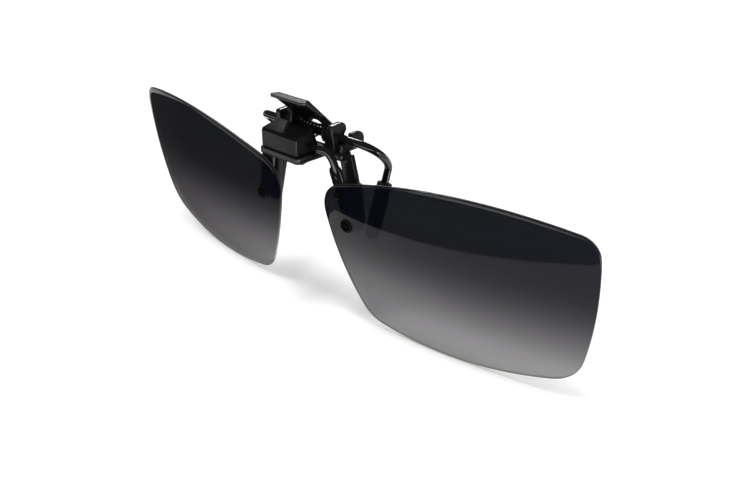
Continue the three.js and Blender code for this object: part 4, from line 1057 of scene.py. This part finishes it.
def bracket_side(bracket):
    """Shells of the right half of the bracket: wing, cheek, bearing, boss, ear and arm."""
    axle_y, axle_z = JAW_AXLE[1:]
    edge = bracket.plate_edge
    plate_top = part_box("hinge_housing")[0].z - bracket.seat_gap
    plate_bottom = plate_top - bracket.plate_thickness
    at = lambda behind, above: [axle_y + behind, axle_z + above]
    wing = rounded([
        [0, axle_y - bracket.wing_front], [bracket.wing_outer, axle_y - bracket.wing_front],
        [bracket.wing_outer, axle_y + bracket.wing_rear], [0, axle_y + bracket.wing_rear]], 2 * edge)
    height, lobe, waist = bracket.cheek_height, bracket.cheek_lobe, bracket.cheek_waist
    cheek = rounded([
        [axle_y - bracket.cheek_foot, plate_bottom], [axle_y + waist, plate_bottom],
        at(waist, bracket.cheek_waist_height), at(lobe, bracket.cheek_lobe_height), at(lobe, height),
        at(-bracket.cheek_front, height - bracket.cheek_front_drop)],
        [edge, edge, 0.5 * waist, 0.4 * lobe, 0.85 * lobe, 0.5 * waist])
    bearing_outer = bracket.bearing_inner + bracket.bearing_length
    radius = bracket.bearing_diameter / 2
    bearing = np.vstack([
        arc([axle_y, axle_z], radius, 0, math.pi),
        [[axle_y - radius, plate_bottom], [axle_y + radius, plate_bottom]]])
    boss_y, boss_z = axle_y + bracket.anchor_behind, axle_z - bracket.anchor_below
    boss_radius = bracket.anchor_boss / 2
    boss = np.vstack([
        arc([boss_y, boss_z], boss_radius, -math.pi / 2, math.pi / 2),
        [[axle_y, boss_z + boss_radius], [axle_y, boss_z - boss_radius]]])
    reach, bottom = bracket.ear_reach, bracket.ear_bottom
    foot_rise = bracket.ear_foot - bottom
    ear = rounded([
        at(-bracket.ear_neck_front, -bracket.ear_foot), at(bracket.ear_foot_rear, -bracket.ear_foot),
        at(bracket.ear_foot_rear + foot_rise, -bottom), at(reach, -bottom), at(reach, bracket.ear_top),
        at(bracket.ear_top_start, bracket.ear_top), at(bracket.ear_top_start, -bracket.ear_neck),
        at(-bracket.ear_neck_front, -bracket.ear_neck)],
        [edge / 2, edge / 2, edge / 2, 0.26 * reach, 0.3 * reach, 0.09 * reach, edge, edge / 2])
    arm = rounded(strip([
        [bracket.arm_top_x, bracket.arm_top_z], [bracket.arm_knee_x, bracket.arm_knee_z],
        [bracket.arm_tip_x, bracket.arm_tip_z]], bracket.arm_width), edge)
    cheek_outer = bracket.cheek_inner + bracket.cheek_thickness
    return [
        slab(wing, plate_bottom, plate_top, edge),
        along_x(slab(cheek, bracket.cheek_inner, cheek_outer, edge)),
        along_x(slab(bearing, bracket.bearing_inner, bearing_outer, edge)),
        along_x(slab(boss, bracket.bearing_inner, bracket.bearing_inner + bracket.anchor_boss_length, edge)),
        along_x(slab(ear, bracket.ear_inner, bracket.ear_outer, edge)),
        along_y(slab(arm, -bracket.arm_rear - bracket.arm_thickness, -bracket.arm_rear, edge)),
    ]


class CLIPON_OT_bracket(bpy.types.Operator):
    """Make the bracket: plate, wings, cheeks, bearings, ears and the two front arms"""
    bl_idname = "clip_on.bracket"
    bl_label = "Jaw bracket"

    def execute(self, context):
        bracket = context.scene.clip_bracket
        low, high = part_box("hinge_housing")
        top = low.z - bracket.seat_gap
        half = high.x + bracket.plate_side_lip
        front = low.y - bracket.plate_front_lip
        rear = FLIP_AXLE[1] + bracket.plate_rear
        corner = bracket.plate_corner
        plate = rounded([[-half, front], [half, front], [half, rear], [-half, rear]],
                        [corner, corner, corner / 2, corner / 2])
        shells = [slab(plate, top - bracket.plate_thickness, top, bracket.plate_edge)]
        right = bracket_side(bracket)
        shells += right + [mirrored(shell) for shell in right]
        add_piece(context, "clip_bracket", shells, "clip_base", ["jaw_bracket"],
                  ["satin_black"], sharp=30)
        return {"FINISHED"}


class CLIPON_OT_front_sleeves(bpy.types.Operator):
    """Make the rubber sleeves on the front arms, with a raised flat where they meet the spectacles"""
    bl_idname = "clip_on.front_sleeves"
    bl_label = "Front sleeves"

    def execute(self, context):
        bracket, jaw = context.scene.clip_bracket, context.scene.clip_jaw
        middle = -jaw.pad_height - jaw.front_depth / 2
        knee = np.array([bracket.arm_knee_x, middle, bracket.arm_knee_z])
        tip = np.array([bracket.arm_tip_x, middle, bracket.arm_tip_z])
        down = unit(tip - knee)
        reach = np.linalg.norm(tip - knee) + jaw.front_past
        start_round = np.linspace(0, math.pi / 2, 8)
        end_round = np.linspace(0, math.pi / 2, 24)
        run = np.concatenate([
            jaw.front_start + jaw.sleeve_rim * (1 - np.cos(start_round)),
            reach - jaw.front_round * (1 - np.sin(end_round))])
        rim = jaw.sleeve_rim * (1 - np.sin(start_round))
        shrink = np.sqrt(np.clip(1 - np.sin(end_round) ** 2, 0.0004, 1))
        width, depth = jaw.front_width / 2, jaw.front_depth / 2
        half_width = np.concatenate([width - rim, width - jaw.front_round * (1 - shrink)])
        half_depth = np.concatenate([depth - rim, depth * (0.25 + 0.75 * np.sqrt(shrink))])
        squareness = 6.0
        skin = swept(knee + run[:, None] * down, np.array([0, 1.0, 0]), half_width, half_depth, squareness)
        side, end = jaw.pad_width / 2, jaw.pad_start + jaw.pad_length
        outline = rounded([[-side, jaw.pad_start], [side, jaw.pad_start], [side, end], [-side, end]], side / 3)
        pad, faces = slab(outline, -2 * jaw.pad_height, 0, jaw.pad_height / 2)
        axes = np.stack([[-down[2], 0, down[0]], down, [0, 1.0, 0]])
        shells = [skin, outward(knee * (1, 0, 1) + pad @ axes, faces)]
        for side, sign in SIDES.items():
            add_piece(context, f"{side}_front_rubber", on_side(shells, sign), "clip_base",
                      [f"{side}_front_sleeve"], ["rubber"])
        return {"FINISHED"}


def on_lever(lever, run, rise):
    """Point of the lever's side view: run goes up the web, and rise goes away from the jaw axle."""
    cosine, sine = math.cos(lever.slope), math.sin(lever.slope)
    return np.stack([JAW_AXLE[1] - run * cosine + rise * sine, JAW_AXLE[2] + run * sine + rise * cosine], -1)


def lever_sheet(lever):
    """The web and lip: a flat plate with a hole and a notch, bent along its length. The heading of its middle
    line turns at a steady rate through the bend, and the line is the running sum of its headings."""
    half, edge = lever.width / 2, lever.edge
    lip_turn = lever.slope + math.atan2(lever.lip_dip, lever.lip)
    bend_length = lever.bend * lip_turn
    total = lever.web + math.hypot(lever.lip, lever.lip_dip)
    notch, foot, head = lever.notch_width / 2, -lever.heel, lever.notch_depth - lever.heel
    outline = rounded(
        [[-half, foot], [-notch, foot], [-notch, head], [notch, head],
         [notch, foot], [half, foot], [half, total], [-half, total]],
        [2 * edge, 2 * edge, 3 * edge, 3 * edge, 2 * edge, 2 * edge, lever.corner, lever.corner])
    hole = disc([lever.hole_across, lever.hole_run], lever.hole_diameter / 2, 28)
    rows = np.linspace(lever.web - bend_length, lever.web + bend_length, 15)
    columns = np.linspace(-half, half, 12)[1:-1]
    filling = np.stack(np.meshgrid(columns, rows), -1).reshape(-1, 2)
    flat, faces = slab(outline, -lever.thickness / 2, lever.thickness / 2, edge, [hole], filling)
    fine = np.linspace(-lever.heel, total, 2000)
    turn = lever.slope - lip_turn * np.clip((fine - lever.web) / bend_length + 0.5, 0, 1)
    step = fine[1] - fine[0]
    start = on_lever(lever, -lever.heel, lever.standoff + lever.thickness / 2)
    y = start[0] - np.cumsum(np.cos(turn)) * step
    z = start[1] + np.cumsum(np.sin(turn)) * step
    here = np.interp(flat[:, 1], fine, turn)
    points = np.stack([
        flat[:, 0],
        np.interp(flat[:, 1], fine, y) + flat[:, 2] * np.sin(here),
        np.interp(flat[:, 1], fine, z) + flat[:, 2] * np.cos(here)], -1)
    return outward(points, faces)


class CLIPON_OT_lever(bpy.types.Operator):
    """Make the thumb lever: a bent sheet with two ears on the axle"""
    bl_idname = "clip_on.lever"
    bl_label = "Thumb lever"

    def execute(self, context):
        lever = context.scene.clip_lever
        axle_y, axle_z = JAW_AXLE[1:]
        middle = lever.standoff + lever.thickness / 2
        ear = np.vstack([
            [on_lever(lever, lever.ear_run, middle)],
            [[axle_y - lever.throat_ahead, axle_z + lever.throat_above]],
            arc([axle_y, axle_z], lever.ear_diameter / 2, math.pi, 2 * math.pi + 0.3),
            [on_lever(lever, -lever.heel, middle)]])
        half = lever.width / 2
        side = along_x(slab(ear, half - lever.ear_thickness, half, lever.edge))
        add_piece(context, "lever_plate", [lever_sheet(lever), side, mirrored(side)], "jaw_lever",
                  ["thumb_lever"], ["satin_black"], sharp=30)
        return {"FINISHED"}


class CLIPON_OT_jaw_wire(bpy.types.Operator):
    """Make the rear wire and the rubber sleeves on its prongs"""
    bl_idname = "clip_on.jaw_wire"
    bl_label = "Rear wire and sleeves"

    def execute(self, context):
        jaw = context.scene.clip_jaw
        top, tip = np.array(jaw.prong_top), np.array(jaw.prong_tip)
        down = unit(tip - top)
        bend = JAW_AXLE + (jaw.straight, 0, 0)
        half = np.vstack([
            np.linspace(JAW_AXLE, bend, 24),
            bezier(bend, bend + (jaw.upper_bend, 0, 0), top - down * jaw.lower_bend, top,
                   np.linspace(0, 1, 90)[1:]),
            np.linspace(top, tip, 24)[1:]])
        path = np.concatenate([half[:0:-1] * (-1, 1, 1), half])
        radius = jaw.diameter / 2
        wire = swept(path, np.array([0, 1.0, 0]), radius, radius)
        add_piece(context, "jaw_wire", [wire], "jaw_lever", ["rear_wire"], ["gloss_black"])
        outer, rim = jaw.sleeve_diameter / 2, jaw.sleeve_rim
        end = tip + down * jaw.sleeve_tip
        turn = np.linspace(0, math.pi / 2, 8)
        profile = np.vstack([
            dome(outer, -outer, outer, 16)[::-1],
            np.stack([outer - rim * (1 - np.cos(turn)), jaw.sleeve_length - rim * (1 - np.sin(turn))], -1),
            [[radius, jaw.sleeve_length - rim], [0, jaw.sleeve_length - rim]]])
        sleeve = turned(profile, end, -down)
        for side, sign in SIDES.items():
            add_piece(context, f"{side}_rear_rubber", on_side([sleeve], sign), "jaw_lever",
                      [f"{side}_rear_sleeve"], ["rubber"])
        return {"FINISHED"}


def spring_path(spring, lever):
    """A straight leg under the web, turns of one radius that climb by the pitch, and a leg straight down."""
    foot = math.pi / 2 - lever.slope
    sweep = 2 * math.pi * spring.turns + foot
    turn = foot - np.linspace(0, sweep, 48 * spring.turns)
    coil = np.stack([
        spring.start + spring.pitch * (foot - turn) / (2 * math.pi),
        JAW_AXLE[1] + spring.radius * np.cos(turn), JAW_AXLE[2] + spring.radius * np.sin(turn)], -1)
    leg_y, leg_z = on_lever(lever, spring.lever_leg, spring.radius)
    upper = np.linspace([spring.start, leg_y, leg_z], coil[0], 20)[:-1]
    lower = np.linspace(coil[-1], coil[-1] - (0, 0, spring.anchor_leg), 14)[1:]
    return np.vstack([upper, coil, lower])


class CLIPON_OT_spring(bpy.types.Operator):
    """Make the torsion spring, whose upper leg runs under the lever's web"""
    bl_idname = "clip_on.spring"
    bl_label = "Torsion spring"

    def execute(self, context):
        spring = context.scene.clip_spring
        path = spring_path(spring, context.scene.clip_lever)
        shell = swept(path, np.array([1.0, 0, 0]), spring.wire / 2, spring.wire / 2, sides=16)
        coil = add_piece(context, "torsion_coil", [shell], None, ["torsion_spring"],
                         ["spring_steel"])
        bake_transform(coil)
        return {"FINISHED"}


class CLIPON_OT_inner_fittings(bpy.types.Operator):
    """Finish the fittings that keep their CAD shape: rivets, anchor pin and detent leaf"""
    bl_idname = "clip_on.inner_fittings"
    bl_label = "Inner fittings"

    def execute(self, context):
        kept = {"right_housing_rivet": "spring_steel", "left_housing_rivet": "spring_steel",
                "spring_anchor_pin": "gloss_black", "detent_spring": "spring_steel"}
        for node, finish in kept.items():
            slots = frame["nodes"][node].material_slots
            if not slots:
                raise RuntimeError(f"{node} has no material slot")
            for slot in slots:
                slot.material = finish_of(finish, context)
        return {"FINISHED"}


# Lights in metres and watts: name, place, width, depth and power. A strip's place is its spot on the floor.
OVERHEAD_LIGHTS = (
    ("overhead_box", (0.08, -0.2, 1.1), (1.8, 1.8), 13), ("overhead_key", (0.08, -0.2, 1.0), (0.3, 0.3), 7))
STREAK_LIGHT = ("back_left_strip", (-0.716, 0.648, 0.639), (0.26, 0.1), 3)
STREAK_AIM = (0, 0, 0.01)
FLOOR_STRIPS = (
    ("front_strip", (0.113, -0.137), (0.275, 0.106), 0.3), ("right_strip", (0.17, -0.01), (0.1, 0.1), 0.45))
FLOOR_REACH = 4.0


def area_light(context, name, place, aim, size, power):
    """A soft box at a place, turned to an aim."""
    data = bpy.data.lights.new(name, "AREA")
    data.shape = "RECTANGLE"
    data.size, data.size_y = size
    data.energy = power
    lamp = bpy.data.objects.new(name, data)
    context.scene.collection.objects.link(lamp)
    away = unit(np.asarray(place, float) - np.asarray(aim, float))
    side = unit(np.cross([0, 0, 1.0], away)) if abs(away[2]) < 0.999 else np.array([1.0, 0, 0])
    turn = Matrix(np.column_stack([side, np.cross(away, side), away]).tolist()).to_4x4()
    lamp.matrix_world = Matrix.Translation(place) @ turn
    return lamp


def floor_material(stage):
    """Pale floor that keeps shadows, with a little glow wherever a camera, a gloss or a glass sees it."""
    shader = Shader("floor")
    path = shader.node("ShaderNodeLightPath")
    seen = path.out("Is Camera Ray") + path.out("Is Glossy Ray") + path.out("Is Transmission Ray")
    matt = shader.node("ShaderNodeBsdfDiffuse", None, {"Color": paint(stage.floor_colour)}).out()
    glow = shader.node("ShaderNodeEmission", None, {"Strength": seen * stage.floor_glow}).out()
    return shader.output(shader.node("ShaderNodeAddShader", None, {0: matt, 1: glow}).out())


def stage_sheet(context, name, plan, height, material):
    """A flat sheet of the stage at one height, from the corners of its plan."""
    mesh = bpy.data.meshes.new(name)
    mesh.from_pydata([(x, y, height) for x, y in plan], [], [range(len(plan))])
    mesh.materials.append(material)
    sheet = bpy.data.objects.new(name, mesh)
    context.scene.collection.objects.link(sheet)
    return sheet


def card(context, name, plan, height):
    """A dark card just over the floor, which only shows in gloss."""
    shader = Shader(name)
    glow = shader.node("ShaderNodeEmission", None, {"Strength": context.scene.clip_stage.card_glow}).out()
    made = stage_sheet(context, name, plan, height, shader.output(glow))
    made.visible_camera = made.visible_diffuse = made.visible_shadow = made.visible_transmission = False


def cards(context, height):
    """A stepped card ahead of the glasses and at their left, and a square one behind at the right."""
    stage = context.scene.clip_stage
    edge = lambda x: -stage.card_start - stage.card_lean * x
    left, right, side = -stage.card_left, stage.card_right, -stage.card_side
    back, end, step = stage.card_back, -stage.card_end, -0.55 * stage.card_side
    card(context, "dark_card", [
        (left, 0.6 * end), (2 * side, 0.6 * end), (1.5 * side, end), (right, end), (right, edge(right)),
        (side, edge(side)), (side, 0.66 * side), (step, 0.25 * side), (step, back), (left, back)], height)
    near_x, near_y = stage.rear_card_side, stage.rear_card_start
    far_x, far_y = near_x + stage.rear_card_size, near_y + stage.rear_card_size
    card(context, "rear_card", [(near_x, near_y), (far_x, near_y), (far_x, far_y), (near_x, far_y)], height)


class CLIPON_OT_stage(bpy.types.Operator):
    """Make the camera, the floor, the lights and the world"""
    bl_idname = "clip_on.stage"
    bl_label = "Stage"

    def execute(self, context):
        scene, stage = context.scene, context.scene.clip_stage
        data = bpy.data.cameras.new("camera")
        data.sensor_fit, data.sensor_width, data.lens = "HORIZONTAL", 36.0, stage.focal
        data.clip_start, data.clip_end = 0.005, 50.0
        camera = bpy.data.objects.new("camera", data)
        scene.collection.objects.link(camera)
        a, e = stage.azimuth, stage.elevation
        back = np.array([math.sin(a) * math.cos(e), -math.cos(a) * math.cos(e), math.sin(e)])
        right = np.array([math.cos(a), math.sin(a), 0])
        up = np.cross(back, right)
        rolled = [math.cos(stage.roll) * right + math.sin(stage.roll) * up,
                  math.cos(stage.roll) * up - math.sin(stage.roll) * right, back]
        turn = Matrix(np.column_stack(rolled).tolist()).to_4x4()
        camera.matrix_world = Matrix.Translation(stage.camera_place) @ turn
        scene.camera = camera

        level = CAD_BOX[0].z - stage.floor_gap
        reach = FLOOR_REACH
        stage_sheet(context, "floor", [(-reach, -reach), (reach, -reach), (reach, reach), (-reach, reach)],
                    level, floor_material(stage))
        over_floor = level + stage.floor_gap / 2
        cards(context, over_floor)
        for name, place, size, power in OVERHEAD_LIGHTS:
            area_light(context, name, place, (0, 0, 0), size, power).visible_glossy = False
        name, place, size, power = STREAK_LIGHT
        area_light(context, name, place, STREAK_AIM, size, power).visible_diffuse = False
        for name, (x, y), size, power in FLOOR_STRIPS:
            area_light(context, name, (x, y, over_floor), (x, y, 1), size, power).visible_camera = False

        world = bpy.data.worlds.new("studio")
        world.use_nodes = True
        sky = world.node_tree.nodes["Background"]
        sky.inputs["Color"].default_value = (1, 1, 1, 1)
        sky.inputs["Strength"].default_value = stage.world_glow
        scene.world = world
        scene.view_settings.view_transform = "Standard"
        return {"FINISHED"}


class CLIPON_PT_panel(bpy.types.Panel):
    """Lists the pieces and their sizes"""
    bl_idname = "CLIPON_PT_panel"
    bl_label = "Clip-on glasses"
    bl_space_type = "VIEW_3D"
    bl_region_type = "UI"
    bl_category = "Clip-on"

    def draw(self, context):
        for operator in OPERATORS:
            self.layout.operator(operator.bl_idname)
        for pointer, group in POINTERS.items():
            box = self.layout.box()
            box.label(text=group.__doc__)
            for name in group.__annotations__:
                box.prop(getattr(context.scene, pointer), name)


OPERATORS = (
    CLIPON_OT_stage, CLIPON_OT_lenses, CLIPON_OT_fixings, CLIPON_OT_yoke, CLIPON_OT_housing, CLIPON_OT_bracket,
    CLIPON_OT_front_sleeves, CLIPON_OT_lever, CLIPON_OT_jaw_wire, CLIPON_OT_spring, CLIPON_OT_inner_fittings,
)
CLASSES = (*POINTERS.values(), *OPERATORS, CLIPON_PT_panel)


def register():
    for item in CLASSES:
        bpy.utils.register_class(item)
    for pointer, group in POINTERS.items():
        setattr(bpy.types.Scene, pointer, bpy.props.PointerProperty(type=group))


def unregister():
    for pointer in POINTERS:
        delattr(bpy.types.Scene, pointer)
    for item in reversed(CLASSES):
        bpy.utils.unregister_class(item)


def main():
    register()
    bpy.ops.clip_on.stage()
    bpy.ops.clip_on.lenses()
    bpy.ops.clip_on.fixings()
    bpy.ops.clip_on.yoke()
    bpy.ops.clip_on.housing()
    bpy.ops.clip_on.bracket()
    bpy.ops.clip_on.front_sleeves()
    bpy.ops.clip_on.lever()
    bpy.ops.clip_on.jaw_wire()
    bpy.ops.clip_on.spring()
    bpy.ops.clip_on.inner_fittings()


if __name__ == "__main__":
    main()
